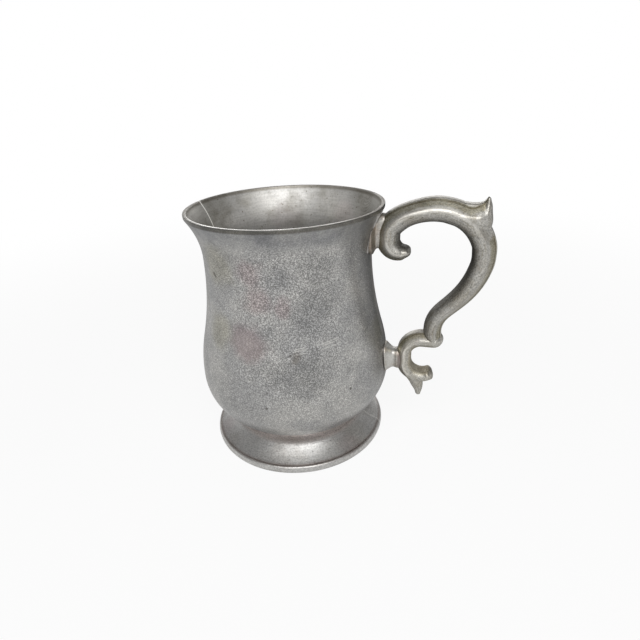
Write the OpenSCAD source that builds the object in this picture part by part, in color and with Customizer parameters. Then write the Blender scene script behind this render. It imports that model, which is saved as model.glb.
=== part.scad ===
// A footed tulip tankard of cast pewter with a double scroll handle.
// The origin is on the bowl's axis, in the plane that the foot stands on. The handle lies along +X.
// The bowl, floor, foot and handle castings are separate and are joined by soft solder.

/* [Bowl] */
// Height from the table to the top of the lip
height = 120; // [112:1:135]
// Outer radius of the lip
lip_r = 45.6; // [43:0.1:50]
// Outer radius at the neck, the narrowest place
neck_r = 39.8; // [37:0.1:42]
// Height of the neck
neck_z = 99.5; // [95:0.5:103]
// Outer radius at the belly, the widest place
belly_r = 48; // [45:0.1:52]
// Height of the belly's widest place
belly_z = 38.5; // [35:0.5:43]
// Radius of the belly's outward bow, above its widest place
belly_bow_r = 78; // [60:1:100]
// Thickness of the wall
wall = 2; // [1.6:0.1:3]
// Outer radius of the flat underside, where the belly's curve ends
base_r = 32.4; // [31:0.1:36]

/* [Floor] */
// Thickness of the bowl's flat bottom
floor_t = 2.5; // [2:0.1:4]
// Radius of the floor disc's plug, which closes the bottom
plug_r = 22; // [18:0.5:24]
// Width of the floor disc's flange, beyond the plug
flange_w = 3; // [2:0.1:4]
// Thickness of the floor disc's flange
flange_t = 1.2; // [0.8:0.1:1.6]
// Width of the solder ring round the flange
floor_solder_w = 0.8; // [0.5:0.1:1.5]

/* [Foot] */
// Height of the foot, from the table to the bowl's underside
foot_h = 14; // [12:0.5:17]
// Outer radius of the bead round the foot's edge
foot_r = 45.4; // [42:0.1:50]
// Height of the bead
bead_h = 3.2; // [2:0.1:4]
// How far the bead's rounded edge stands out
bead_bulge = 1.2; // [0.8:0.1:2]
// Depth of the groove above the bead
groove_d = 0.7; // [0.3:0.1:1]
// Height of the groove
groove_h = 0.7; // [0.4:0.1:1]
// Outer radius of the ledge at the top of the slope
ledge_r = 35; // [33:0.1:37]
// Height of the ledge
ledge_z = 10.4; // [9:0.1:11]
// Height of the ledge's crisp edge
ledge_edge = 0.4; // [0.2:0.1:0.8]
// How far the slope sags below a straight line
slope_sag = 0.5; // [0:0.1:1]
// Outer radius of the foot's neck
foot_neck_r = 31; // [29:0.1:31.6]
// Thickness of the foot's wall
foot_wall = 2.6; // [2:0.1:3.5]
// Width of the flat ring that stands on the table
rest_w = 3.2; // [2:0.1:5]

/* [Handle scroll] */
// Depth of the hook's centre below the top of the lip
hook_drop = 14.5; // [12:0.1:18]
// Gap between the neck and the hook's back, which the upper strut fills
upper_gap = 3.2; // [2:0.1:6]
// Radius of the curl that ends the hook
curl_r = 5.5; // [5.4:0.1:7]
// Angle that the curl turns through
curl_turn = 90; // [70:1:110]
// Length of the curl's rounded nose
curl_nose = 4.2; // [2:0.1:5]
// Radius of the hook's back
hook_r = 8; // [7:0.1:10]
// Angle that the hook's back turns through
hook_turn = 38; // [20:1:50]
// Radius of the arch
arch_r = 21.9; // [19:0.1:25]
// Place on the arch where the tighter shoulder starts, as an angle above the horizontal
shoulder_start = 20.5; // [12:0.5:30]
// Radius of the shoulder
shoulder_r = 16; // [13:0.5:20]
// Angle below the horizontal at which the shoulder ends
shoulder_turn = 15.5; // [8:0.5:25]
// Pull of the arch's shoulder on the descending curve
arch_pull = 19.5; // [14:0.5:24]
// Pull of the lower bend on the descending curve
bend_pull = 13; // [8:0.5:18]
// Radius of the lower bend
bend_r = 14; // [11:0.5:18]
// Angle from the lower bend's innermost place to the lap with the lower scroll
lap_turn = 20; // [10:1:30]
// Angle that the lower bend runs on past the lap
end_turn = 5; // [3:1:12]
// Length of the lower end's rounded nose
end_nose = 1.8; // [1.5:0.1:4]
// Thickness at the curl
curl_t = 8.2; // [6.5:0.1:9.5]
// Thickness at the hook's back
hook_t = 9.6; // [8:0.1:10]
// Thickness at the arch's crown
crown_t = 10; // [9:0.1:12]
// Thickness at the arch's back, under the spur
back_t = 10.9; // [9.6:0.1:12]
// Thickness halfway down the descending curve
descent_t = 8.2; // [6.8:0.1:10]
// Thickness at the lower end
end_t = 7.4; // [6.4:0.1:9]
// Width across the hook and the arch
arch_w = 13; // [11:0.1:15]
// Width across the lower end
end_w = 11; // [9.4:0.1:13]

/* [Scroll section] */
// Width of the flat spine, as a share of a scroll's width
spine_share = 0.4; // [0.3:0.01:0.5]
// Width of the flat inside, as a share of a scroll's width
inside_share = 0.6; // [0.5:0.01:0.7]
// Place across half a scroll's thickness where the slope beside the spine ends, as a share
slope_depth_share = 0.66; // [0.55:0.01:0.75]
// Place across half a scroll's width where the slope beside the spine ends, as a share
slope_width_share = 0.75; // [0.65:0.01:0.85]

/* [Thumb spur] */
// Place on the arch where the thumb spur starts, as an angle above the horizontal
spur_start = 76; // [60:1:84]
// Height of the spur's tip above the crown's centre line
spur_rise = 4.9; // [3:0.1:7]
// How far the tip stands inside the arch's outermost centre line
spur_lean = 1.6; // [0:0.1:3]
// Angle above the horizontal at which the spur's tip points
spur_tip_turn = 60; // [45:1:80]
// Pull of the spur's root along the arch
spur_root_pull = 8; // [6:0.1:10]
// Pull of the spur's tip
spur_tip_pull = 3.7; // [2:0.1:5]
// How far the spur's start is sunk in the arch, on each side
spur_inset = 0.4; // [0.2:0.1:1]
// Thickness of the spur where it leaves the arch
spur_mid_t = 10.2; // [9:0.1:11]
// Thickness of the spur's tip
spur_tip_t = 1.8; // [1.2:0.1:3]
// Width across the spur's tip
spur_tip_w = 2.6; // [1.6:0.1:4]

/* [Lower scroll] */
// Height of the middle of the scroll's back
lower_z = 46; // [43:0.1:50]
// Gap between the belly and the scroll's back, which the lower strut fills
lower_gap = 5.6; // [4:0.1:8]
// Length of the straight back
back_len = 4.6; // [3:0.1:8]
// Radius of the upper turn
upper_turn_r = 8.8; // [7.5:0.1:10]
// Radius of the lower turn
lower_turn_r = 8; // [7:0.1:10]
// Angle that the lower turn runs through
lower_turn = 124; // [100:1:140]
// Length of the lower turn's rounded nose
lower_nose = 1.8; // [1:0.1:3]
// Reach of the upper arm from the upper turn to the lap
lap_reach = 5; // [4.5:0.1:7]
// Thickness of the scroll
lower_t = 6.8; // [5.5:0.1:8]
// Thickness of the scroll at its lower end
lower_end_t = 5.8; // [4.8:0.1:7]
// Width across the scroll
lower_w = 10.4; // [8:0.1:11]
// Thickness of the upper arm at the lap
lap_t = 5.6; // [5:0.1:7]
// Width across the upper arm at the lap
lap_w = 8.8; // [7:0.1:9.4]

/* [Leaf tail] */
// Place on the lower turn where the leaf tail starts, as an angle past the back
tail_start = 40; // [25:1:55]
// Drop of the tail's tip below the lower turn's centre line
tail_drop = 10.6; // [8:0.1:14]
// How far the tip lies inside the lower turn's centre
tail_lean = -0.2; // [-1:0.1:2]
// Pull of the tail's root, along the scroll
tail_root_pull = 6; // [3:0.1:8]
// Pull of the tail's tip, straight down
tail_tip_pull = 6; // [3:0.1:8]
// How far the tail's start is sunk in the scroll, on each side
tail_inset = 0.4; // [0.2:0.1:1]
// Thickness of the tail where it leaves the scroll
tail_mid_t = 6; // [4.5:0.1:6.6]
// Thickness of the tail's tip
tail_tip_t = 2.6; // [1.6:0.1:3]
// Width across the tail's tip
tail_tip_w = 3; // [2:0.1:4]

/* [Struts] */
// Drop of the upper strut's underside below the hook's centre
upper_strut_drop = 3.6; // [3:0.1:6]
// Clearance between the upper strut and the top of the lip
upper_strut_clear = 3.6; // [3:0.1:6]
// Width across the upper strut at its waist
upper_strut_w = 8.6; // [7:0.1:9.2]
// Height of the lower strut at its waist
lower_strut_h = 9.2; // [8:0.1:12]
// Drop of the lower strut below the middle of the lower scroll's back
lower_strut_drop = 1.2; // [0:0.1:2]
// Width across the lower strut at its waist
lower_strut_w = 6.4; // [5:0.1:8]
// Spread of a strut at the bowl, on each side
strut_flare = 1.8; // [0.8:0.1:2.4]
// Thickness of the solder layer in a joint
solder_t = 0.3; // [0.2:0.05:0.5]

/* [Hidden] */
$fn = 96;
pewter = "#8f8f8c";
handle_pewter = "#a09e96";
solder = "#b4b2ae";
arc_steps = 10;
small_steps = 5;
spur_leave = 0.72;
tail_leave = 0.6;
back_lead = 2;
turn_step = 15;
crest_tilt = 50;
flank_tilt = 60;
round_steps = 3;
nose_angles = [25, 50, 75];
same_point = 0.001;

// Bowl profile: each curve is an arc about a centre that its outer and inner faces share.
floor_z = foot_h + floor_t;
rebate_r = plug_r + flange_w + floor_solder_w;
lip_c = [lip_r - wall / 2, height - wall / 2];
flare_rise = lip_c[1] - neck_z;
flare_out = lip_r - neck_r;
flare_r = (flare_rise * flare_rise + flare_out * flare_out) / (2 * flare_out);
flare_c = [neck_r - wall / 2 + flare_r, neck_z];
flare_angle = asin(flare_rise / flare_r);
swell = belly_r - neck_r;
swell_drop = neck_z - belly_z;
neck_bow_r = (swell * swell + swell_drop * swell_drop) / (2 * swell) - belly_bow_r;
neck_c = [neck_r + neck_bow_r, neck_z];
belly_c = [belly_r - belly_bow_r, belly_z];
swell_angle = asin(swell_drop / (neck_bow_r + belly_bow_r));
swell_z = belly_z + belly_bow_r * sin(swell_angle);
under_in = belly_r - base_r;
under_drop = belly_z - foot_h;
under_r = (under_in * under_in + under_drop * under_drop) / (2 * under_in);
under_c = [belly_r - under_r, belly_z];
under_angle = atan2(under_drop, under_r - under_in);
inner_under_angle = asin((belly_z - floor_z) / (under_r - wall));

// Foot profile
bead_in = foot_r - bead_bulge;
rest_in = bead_in - rest_w;
slope_top = [ledge_r, ledge_z - ledge_edge];
slope_end = [bead_in - groove_d / 2, bead_h + groove_h];
slope_dir = (slope_end - slope_top) / norm(slope_end - slope_top);
slope_in = [slope_dir[1], -slope_dir[0]];
slope_mid = (slope_top + slope_end) / 2 + 2 * slope_sag * slope_in;
hollow_top = slope_top + (foot_wall + slope_sag) * slope_in;
hollow_end = hollow_top + (rest_in - hollow_top[0]) / slope_dir[0] * slope_dir;
foot_neck_in = foot_neck_r - foot_wall;
foot_solder_leg = base_r - foot_neck_r;
foot_neck_z = foot_h - foot_solder_leg;

// Centre lines of the handle, in the XZ plane
hook_z = height - hook_drop;
hook_c = [bowl_r(hook_z) + upper_gap + hook_t / 2 + hook_r, hook_z];
curl_c = hook_c + [curl_r - hook_r, 0];
arch_c = hook_c + (arch_r - hook_r) * [cos(hook_turn), -sin(hook_turn)];
shoulder_c = arch_c + (arch_r - shoulder_r) * [cos(shoulder_start), sin(shoulder_start)];
shoulder_end = shoulder_c + shoulder_r * [cos(shoulder_turn), -sin(shoulder_turn)];
shoulder_along = [-sin(shoulder_turn), -cos(shoulder_turn)];
back_x = bowl_r(lower_z) + lower_gap + lower_t / 2;
upper_turn_c = [back_x + upper_turn_r, lower_z + back_len / 2];
lower_turn_c = [back_x + lower_turn_r, lower_z - back_len / 2];
lap = upper_turn_c + [lap_reach, upper_turn_r];
bend_c = lap + bend_r * [cos(lap_turn), sin(lap_turn)];
bend_top = bend_c - [bend_r, 0];
scroll_path = chain([
    arc(curl_c, curl_r, curl_turn - 180, -180),
    arc(hook_c, hook_r, 180, 180 - hook_turn),
    arc(arch_c, arch_r, 180 - hook_turn, shoulder_start, 2 * arc_steps),
    arc(shoulder_c, shoulder_r, shoulder_start, -shoulder_turn, small_steps),
    bezier(shoulder_end, shoulder_end + arch_pull * shoulder_along, bend_top + [0, bend_pull], bend_top),
    arc(bend_c, bend_r, 180, 180 + lap_turn + end_turn, small_steps)]);
crown_mark = 3 * arc_steps;
arch_mark = 4 * arc_steps;
back_mark = arch_mark - back_lead;
descent_mark = arch_mark + small_steps + arc_steps / 2;
scroll_mark = 5 * arc_steps + 2 * small_steps;
scroll_ts = [[0, curl_t], [arc_steps, hook_t], [crown_mark, crown_t], [back_mark, back_t],
    [descent_mark, descent_t], [scroll_mark, end_t]];
scroll_ws = [[0, arch_w], [arch_mark, arch_w], [scroll_mark, end_w]];
lower_path = chain([
    [lap],
    arc(upper_turn_c, upper_turn_r, 90, 180),
    arc(lower_turn_c, lower_turn_r, 180, 180 + lower_turn)]);
lower_mark = 2 * arc_steps + 2;
thin_mark = lower_mark - arc_steps / 2;
lower_ts = [[0, lap_t], [arc_steps, lower_t], [thin_mark, lower_t], [lower_mark, lower_end_t]];
lower_ws = [[0, lap_w], [arc_steps, lower_w], [lower_mark, lower_w]];
spur_root = arch_c + (arch_r + crown_t / 2 - spur_inset) * [cos(spur_start), sin(spur_start)];
spur_tip = arch_c + [arch_r - spur_lean, arch_r + spur_rise];
spur_along = [sin(spur_start), -cos(spur_start)];
spur_path = bezier(spur_root, spur_root + spur_root_pull * spur_along,
    spur_tip - spur_tip_pull * [cos(spur_tip_turn), sin(spur_tip_turn)], spur_tip);
spur_ts = [[0, crown_t - 2 * spur_inset], [spur_leave * arc_steps, spur_mid_t], [arc_steps, spur_tip_t]];
spur_ws = [[0, arch_w - 2 * spur_inset], [arc_steps, spur_tip_w]];
tail_root = lower_turn_c - lower_turn_r * [cos(tail_start), sin(tail_start)];
tail_tip = lower_turn_c - [tail_lean, lower_turn_r + tail_drop];
tail_along = [sin(tail_start), -cos(tail_start)];
tail_path = bezier(tail_root, tail_root + tail_root_pull * tail_along,
    tail_tip + [0, tail_tip_pull], tail_tip);
tail_ts = [[0, lower_t - 2 * tail_inset], [tail_leave * arc_steps, tail_mid_t], [arc_steps, tail_tip_t]];
tail_ws = [[0, lower_w - 2 * tail_inset], [arc_steps, tail_tip_w]];

// Points on a circular arc, in equal steps from one angle to another
function arc(c, r, a0, a1, n = arc_steps) =
    [for (i = [0:n]) let (a = a0 + (a1 - a0) * i / n) c + r * [cos(a), sin(a)]];

// Points on a cubic curve with two end points and two pull points
function bezier(a, b, c, d, n = arc_steps) =
    [for (i = [0:n]) let (t = i / n, u = 1 - t)
        u * u * u * a + 3 * u * u * t * b + 3 * u * t * t * c + t * t * t * d];

// Last point of a list
function last(points) = points[len(points) - 1];

// Lists of points joined into one, without a point that repeats the end of the list before
function chain(lists) = [for (k = [0:len(lists) - 1], i = [0:len(lists[k]) - 1])
    if (k == 0 || i > 0 || norm(lists[k][0] - last(lists[k - 1])) > same_point) lists[k][i]];

// Outer radius of the bowl at a height above its widest place
function bowl_r(z) =
    z > neck_z ? flare_c[0] - sqrt(pow(flare_r - wall / 2, 2) - pow(z - neck_z, 2)) :
    z > swell_z ? neck_c[0] - sqrt(pow(neck_bow_r, 2) - pow(z - neck_z, 2)) :
    belly_c[0] + sqrt(pow(belly_bow_r, 2) - pow(z - belly_z, 2));

// Outer face of the bowl from its underside to its lip, moved out by a gap
function bowl_outer(gap = 0) = chain([
    arc(under_c, under_r + gap, -under_angle, 0),
    arc(belly_c, belly_bow_r + gap, 0, swell_angle),
    arc(neck_c, neck_bow_r - gap, 180 + swell_angle, 180),
    arc(flare_c, flare_r - wall / 2 - gap, 180, 180 - flare_angle)]);

// Inner face of the bowl from its lip to its flat bottom
function bowl_inner() = chain([
    arc(flare_c, flare_r + wall / 2, 180 - flare_angle, 180),
    arc(neck_c, neck_bow_r + wall, 180, 180 + swell_angle),
    arc(belly_c, belly_bow_r - wall, swell_angle, 0),
    arc(under_c, under_r - wall, 0, -inner_under_angle)]);

// Share of the way from an edge to the full half width, where the surface leans by an angle
function swell_share(edge, lean, tilt) = edge + (1 - edge) * (cos(lean) - cos(tilt)) / (1 - cos(tilt));

// Half of a scroll's cross-section, in shares of its half sizes: spine, slope, round crest and round flank
half_section = concat(
    [[1, spine_share]],
    [for (k = [round_steps:-1:0]) let (lean = crest_tilt * k / round_steps)
        [slope_depth_share * sin(lean) / sin(crest_tilt), swell_share(slope_width_share, lean, crest_tilt)]],
    [for (k = [1:round_steps]) let (lean = flank_tilt * k / round_steps)
        [-sin(lean) / sin(flank_tilt), swell_share(inside_share, lean, flank_tilt)]]);

// Cross-section of a scroll, from one edge of its spine round to the other
function section(t, w) = concat(
    [for (q = half_section) [t / 2 * q[0], w / 2 * q[1]]],
    [for (k = [len(half_section) - 1:-1:0]) [t / 2 * half_section[k][0], -w / 2 * half_section[k][1]]]);

// Direction of a path at one of its points
function along(path, i) = let (d = path[min(i + 1, len(path) - 1)] - path[max(i - 1, 0)]) d / norm(d);

// One ring of a scroll's skin: the section set square to the path, with its spine to the given side.
// A lead of 0 centres the section on the path, and a lead of 1 puts its spine there.
function ring(p, d, t, w, side, lead) = [for (q = section(t, w))
    let (a = side * (q[0] - lead * t / 2))
    [p[0] - a * d[1], side * q[1], p[1] + a * d[0]]];

// All rings of a scroll, with a rounded nose past the path's end and, where asked, before its start
function rings(path, ts, ws, side, gap, noses, lead = 0) =
    let (n = len(path) - 1, d0 = along(path, 0), d1 = along(path, n))
    concat(
        [for (k = [len(nose_angles) - 1:-1:0]) if (noses[0] > 0)
            let (f = cos(nose_angles[k]), p = path[0] - (noses[0] + gap) * sin(nose_angles[k]) * d0)
            ring(p, d0, f * (lookup(0, ts) + 2 * gap), f * (lookup(0, ws) + 2 * gap), side, lead)],
        [for (i = [0:n])
            ring(path[i], along(path, i), lookup(i, ts) + 2 * gap, lookup(i, ws) + 2 * gap, side, lead)],
        [for (a = nose_angles)
            let (f = cos(a), p = path[n] + (noses[1] + gap) * sin(a) * d1)
            ring(p, d1, f * (lookup(n, ts) + 2 * gap), f * (lookup(n, ws) + 2 * gap), side, lead)]);

// Solid skinned over rings of equal count
module skin(all_rings) {
    m = len(all_rings[0]);
    top = m * (len(all_rings) - 1);
    points = [for (r = all_rings, q = r) q];
    sides = [for (i = [0:len(all_rings) - 2], k = [0:m - 1], half = [0, 1])
        let (a = i * m + k, b = i * m + (k + 1) % m)
        half == 0 ? [a, b, b + m] : [a, b + m, a + m]];
    polyhedron(points, concat(sides, [[for (k = [m - 1:-1:0]) k]], [[for (k = [0:m - 1]) top + k]]));
}

// Main scroll without its spur, grown by a gap
module scroll_body(gap = 0) skin(rings(scroll_path, scroll_ts, scroll_ws, 1, gap, [curl_nose, end_nose]));

// Lower scroll before its upper arm is cut to the main scroll
module lower_body() skin(rings(lower_path, lower_ts, lower_ws, -1, 0, [0, lower_nose]));

// Bowl's outside as a solid, grown by a gap
module bowl_outside(gap = 0) {
    face = bowl_outer(gap);
    rotate_extrude() polygon(concat([[0, face[0][1]]], face, [[last(face)[0], height], [0, height]]));
}

// Edge of a strut, from the bowl at x to its waist at x + span, that spreads out by the flare at the bowl
function flare_edge(x, y, span, spread) =
    [for (a = [0:turn_step:90]) [x + span * (1 - cos(a)), y + spread * (1 - sin(a))]];

// Waisted bar from inside the bowl to the middle of a scroll
module strut_bar(end_x, z0, z1, w, span) {
    mid_r = bowl_r((z0 + z1) / 2);
    low = flare_edge(bowl_r(z0), z0, span, -strut_flare);
    high = flare_edge(bowl_r(z1), z1, span, strut_flare);
    flank = flare_edge(mid_r, w / 2, span, strut_flare);
    in_x = mid_r - 2 * span;
    intersection() {
        rotate([90, 0, 0]) linear_extrude(2 * w + 4 * strut_flare, center = true)
            polygon(concat([[in_x, low[0][1]]], low, [[end_x, z0], [end_x, z1]],
                [for (i = [len(high) - 1:-1:0]) high[i]], [[in_x, high[0][1]]]));
        linear_extrude(height)
            polygon(concat([[in_x, flank[0][1]]], flank, [[end_x, w / 2], [end_x, -w / 2]],
                [for (i = [len(flank) - 1:-1:0]) [flank[i][0], -flank[i][1]]], [[in_x, -flank[0][1]]]));
    }
}

// Upper strut before it is cut to the bowl and the hook
module upper_bar() strut_bar(hook_c[0] - hook_r, hook_z - upper_strut_drop, height - upper_strut_clear,
    upper_strut_w, upper_gap);

// Lower strut before it is cut to the bowl and the lower scroll
module lower_bar() {
    mid_z = lower_z - lower_strut_drop;
    strut_bar(back_x, mid_z - lower_strut_h / 2, mid_z + lower_strut_h / 2, lower_strut_w, lower_gap);
}

// Solder between the bowl and a strut
module bowl_joint() {
    intersection() {
        children();
        difference() {
            bowl_outside(solder_t);
            bowl_outside();
        }
    }
}

module bowl() {
    lip = arc(lip_c, wall / 2, -flare_angle, 180 - flare_angle, small_steps);
    color(pewter) rotate_extrude() polygon(concat(chain([bowl_outer(), lip, bowl_inner()]), [
        [plug_r, floor_z],
        [plug_r, foot_h + flange_t],
        [rebate_r, foot_h + flange_t],
        [rebate_r, foot_h]]));
}

module floor_disc() {
    color(pewter) rotate_extrude() polygon([
        [0, foot_h],
        [plug_r + flange_w, foot_h],
        [plug_r + flange_w, foot_h + flange_t],
        [plug_r, foot_h + flange_t],
        [plug_r, floor_z],
        [0, floor_z]]);
}

module floor_solder() {
    color(solder) rotate_extrude() polygon([
        [plug_r + flange_w, foot_h],
        [rebate_r, foot_h],
        [rebate_r, foot_h + flange_t],
        [plug_r + flange_w, foot_h + flange_t]]);
}

module foot() {
    cove = [for (a = [0:turn_step:90])
        [ledge_r - (ledge_r - foot_neck_r) * cos(a), foot_neck_z - (foot_neck_z - ledge_z) * sin(a)]];
    slope = bezier(slope_top, (slope_top + 2 * slope_mid) / 3, (slope_end + 2 * slope_mid) / 3, slope_end);
    bead = [for (a = [90:-turn_step:-90]) [bead_in + bead_bulge * cos(a), bead_h / 2 * (1 + sin(a))]];
    color(pewter) rotate_extrude() polygon(concat(
        [[foot_neck_in, foot_h], [foot_neck_r, foot_h]], cove, slope, [[bead_in - groove_d, bead_h]], bead,
        [[rest_in, 0], hollow_end, hollow_top, [foot_neck_in, hollow_top[1]]]));
}

module foot_solder() {
    fillet = arc([base_r, foot_neck_z], foot_solder_leg, 90, 180, small_steps);
    color(solder) rotate_extrude() polygon(concat([[foot_neck_r, foot_h]], fillet));
}

module handle_scroll() {
    color(handle_pewter) union() {
        scroll_body();
        skin(rings(spur_path, spur_ts, spur_ws, 1, 0, [0, spur_tip_t / 2], 1));
    }
}

module lower_scroll() {
    color(handle_pewter) difference() {
        union() {
            lower_body();
            skin(rings(tail_path, tail_ts, tail_ws, -1, 0, [0, tail_tip_t / 2]));
        }
        scroll_body(solder_t);
    }
}

module upper_strut() {
    color(handle_pewter) difference() {
        upper_bar();
        bowl_outside(solder_t);
        scroll_body();
    }
}

module lower_strut() {
    color(handle_pewter) difference() {
        lower_bar();
        bowl_outside(solder_t);
        lower_body();
    }
}

module upper_strut_solder() {
    color(solder) bowl_joint() upper_bar();
}

module lower_strut_solder() {
    color(solder) bowl_joint() lower_bar();
}

module scroll_solder() {
    color(solder) difference() {
        intersection() {
            lower_body();
            scroll_body(solder_t);
        }
        scroll_body();
    }
}

bowl();
floor_disc();
floor_solder();
foot();
foot_solder();
handle_scroll();
lower_scroll();
upper_strut();
lower_strut();
upper_strut_solder();
lower_strut_solder();
scroll_solder();
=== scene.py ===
"""A footed tulip tankard of cast pewter with a double scroll handle, in a plain studio."""

import math

import bpy
import numpy as np
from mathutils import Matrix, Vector
from mathutils.kdtree import KDTree


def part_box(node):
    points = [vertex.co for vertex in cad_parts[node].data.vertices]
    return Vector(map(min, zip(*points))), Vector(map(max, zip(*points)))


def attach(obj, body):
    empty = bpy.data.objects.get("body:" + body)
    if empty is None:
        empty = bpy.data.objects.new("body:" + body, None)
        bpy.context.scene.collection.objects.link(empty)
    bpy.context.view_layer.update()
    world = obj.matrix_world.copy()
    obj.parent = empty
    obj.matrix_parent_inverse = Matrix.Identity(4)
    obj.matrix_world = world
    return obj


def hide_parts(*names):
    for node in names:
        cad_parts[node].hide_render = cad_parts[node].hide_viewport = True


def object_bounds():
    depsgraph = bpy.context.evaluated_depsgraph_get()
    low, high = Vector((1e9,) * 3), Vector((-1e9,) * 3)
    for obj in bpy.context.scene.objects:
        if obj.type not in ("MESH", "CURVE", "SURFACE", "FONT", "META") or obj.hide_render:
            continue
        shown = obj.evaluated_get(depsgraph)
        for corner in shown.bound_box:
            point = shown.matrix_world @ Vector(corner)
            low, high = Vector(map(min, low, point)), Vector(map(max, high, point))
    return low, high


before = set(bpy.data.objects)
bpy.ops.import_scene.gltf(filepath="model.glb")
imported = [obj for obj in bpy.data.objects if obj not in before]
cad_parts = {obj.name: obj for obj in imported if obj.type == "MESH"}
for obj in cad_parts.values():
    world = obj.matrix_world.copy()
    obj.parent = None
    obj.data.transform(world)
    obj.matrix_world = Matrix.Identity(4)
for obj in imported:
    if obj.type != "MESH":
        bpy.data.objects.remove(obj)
CAD_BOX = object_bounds()
BOWL_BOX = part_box("bowl")
FOOT_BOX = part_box("foot")

bl_info = {
    "name": "Cast pewter tankard",
    "version": (1, 0, 0),
    "blender": (4, 5, 0),
    "location": "3D View > Sidebar > Tankard",
    "description": "Models a cast pewter tankard over its packed frame, with its finishes and a studio",
    "category": "Add Mesh",
}

MM = 0.001
HALF_TURN = math.pi
QUARTER_TURN = math.pi / 2
ARC_STEPS = 20
TURN_STEPS = 256
SAME_PLACE = 1e-7
SEED = 1 * MM
# Edges that turn by more than this stay crisp
BOWL_SHARP = math.radians(40)
FOOT_SHARP = math.radians(30)
# Points of the foot's cove that are kept and of its slope that are skipped, where the ledge is rounded
COVE_KEPT = 15
SLOPE_SKIPPED = 3
# Voxel sides and rounds of smoothing for the skins of the castings
SCROLL_SKIN = 0.3 * MM
LOWER_SKIN = 0.22 * MM
STRUT_SKIN = 0.18 * MM
SCROLL_SOFTEN = 6
STRUT_SOFTEN = 5
# Steps along a scroll for finding the depth of its points, rounds of evening it out, and its limit
FINE_STEPS = 4000
EVEN_ROUNDS = 6
DEEPEST = 1.2
# Power that turns the round section of a strut towards a square
SQUARENESS = 0.78
# Part of a soft patch's reach in which it is full
PATCH_CORE = 0.3
# Width of the camera's sensor in millimetres
SENSOR_WIDTH = 36
# Headings, as across and along, of the room's dark corner and of what lies behind the tankard
SHADE_SIDE = (0.353, 0.936)
BEHIND = (-0.2645, 0.9644)
# Millimetres that the main scroll's centre line stands outside its plain arcs, at marks along it
SWING = [
    (-0.4, 0.2), (0, 0.35), (0.5, 0.45), (1, 0.6), (2, 1.5), (2.2, 1.05), (2.4, 0.45), (2.6, 0.15),
    (2.9, 0.3), (3.35, 0.7), (3.8, 0.4), (4, -0.1), (4.6, 0.3), (4.8, 0), (5, -0.2), (5.5, 0)]


# Sizes and amounts

def number(name, amount, text, **kind):
    """A plain number."""
    return bpy.props.FloatProperty(name=name, description=text, default=amount, **kind)


def length(name, size, text):
    """A size in metres, given in millimetres."""
    return number(name, size * MM, text, unit="LENGTH", precision=5)


def angle(name, degrees, text):
    """An angle, given in degrees."""
    return number(name, math.radians(degrees), text, subtype="ANGLE")


def share(name, amount, text):
    """A part of the whole, from 0 to 1."""
    return number(name, amount, text, min=0, max=1, subtype="FACTOR")


def level(name, amount, text):
    """A positive number."""
    return number(name, amount, text, min=0)


def spot(name, place, text):
    """A place in metres, given in millimetres."""
    return bpy.props.FloatVectorProperty(
        name=name, description=text, default=[part * MM for part in place], size=3, subtype="XYZ",
        unit="LENGTH")


def tint(name, colour, text):
    """A colour in linear light."""
    return bpy.props.FloatVectorProperty(
        name=name, description=text, default=colour, size=3, min=0, max=1, subtype="COLOR")


class TankardBowl(bpy.types.PropertyGroup):
    """Sizes of the bowl."""
    height: length("Height", BOWL_BOX[1].z / MM, "Height from the table to the top of the lip")
    lip_radius: length("Lip radius", 45.6, "Outer radius of the lip")
    neck_radius: length("Neck radius", 39.8, "Outer radius at the narrowest place")
    neck_height: length("Neck height", 99.5, "Height of the narrowest place")
    belly_radius: length("Belly radius", BOWL_BOX[1].x / MM, "Outer radius at the widest place")
    belly_height: length("Belly height", 38.5, "Height of the widest place")
    belly_bow: length("Belly bow", 78, "Radius of the outward bow above the widest place")
    base_radius: length("Base radius", 32.4, "Outer radius of the flat underside")
    wall: length("Wall", 2, "Thickness of the wall")
    lip_rise: length("Lip rise", 0.5, "How far the lip's dressed edge stands above the height")
    lip_edge: length("Lip edge", 0.15, "How far the lip's dressed edge stands out")
    lip_corner: length("Lip corner", 0.9, "Size of the lip's rounded outer edge")
    lip_inner: length("Lip inner edge", 0.8, "Width of the lip's rounded inner edge")
    floor: length("Floor", 2.5, "Thickness of the flat bottom")
    corner: length("Corner", 3.5, "Size of the rounded corner between the wall and the bottom")
    plug_radius: length("Plug radius", 22, "Radius of the opening that the floor disc closes")
    flange: length("Flange", 1.2, "Depth of the rebate for the floor disc's flange")
    rebate_radius: length("Rebate radius", 25.8, "Radius of the rebate, with its solder")


class TankardFoot(bpy.types.PropertyGroup):
    """Sizes of the foot."""
    height: length("Height", FOOT_BOX[1].z / MM, "Height from the table to the bowl's underside")
    radius: length("Radius", FOOT_BOX[1].x / MM, "Outer radius of the bead")
    bead_height: length("Bead height", 3.8, "Height of the bead round the edge")
    bead_bulge: length("Bead bulge", 1.2, "How far the bead's rounded edge stands out")
    groove_depth: length("Groove depth", 0.5, "Depth of the groove above the bead")
    groove_height: length("Groove height", 0.6, "Height of the groove")
    ledge_radius: length("Ledge radius", 35, "Outer radius of the ledge")
    ledge_height: length("Ledge height", 10.4, "Height of the ledge")
    ledge_edge: length("Ledge edge", 0.4, "Height of the ledge's edge")
    slope_sag: length("Slope sag", 0.5, "How far the slope sags below a straight line")
    neck_radius: length("Neck radius", 31, "Outer radius of the foot's neck")
    neck_drop: length("Neck drop", 1.4, "Height of the straight neck, which the solder fillet covers")
    wall: length("Wall", 2.6, "Thickness of the wall")
    rest_width: length("Rest width", 3.2, "Width of the flat ring that stands on the table")


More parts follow.
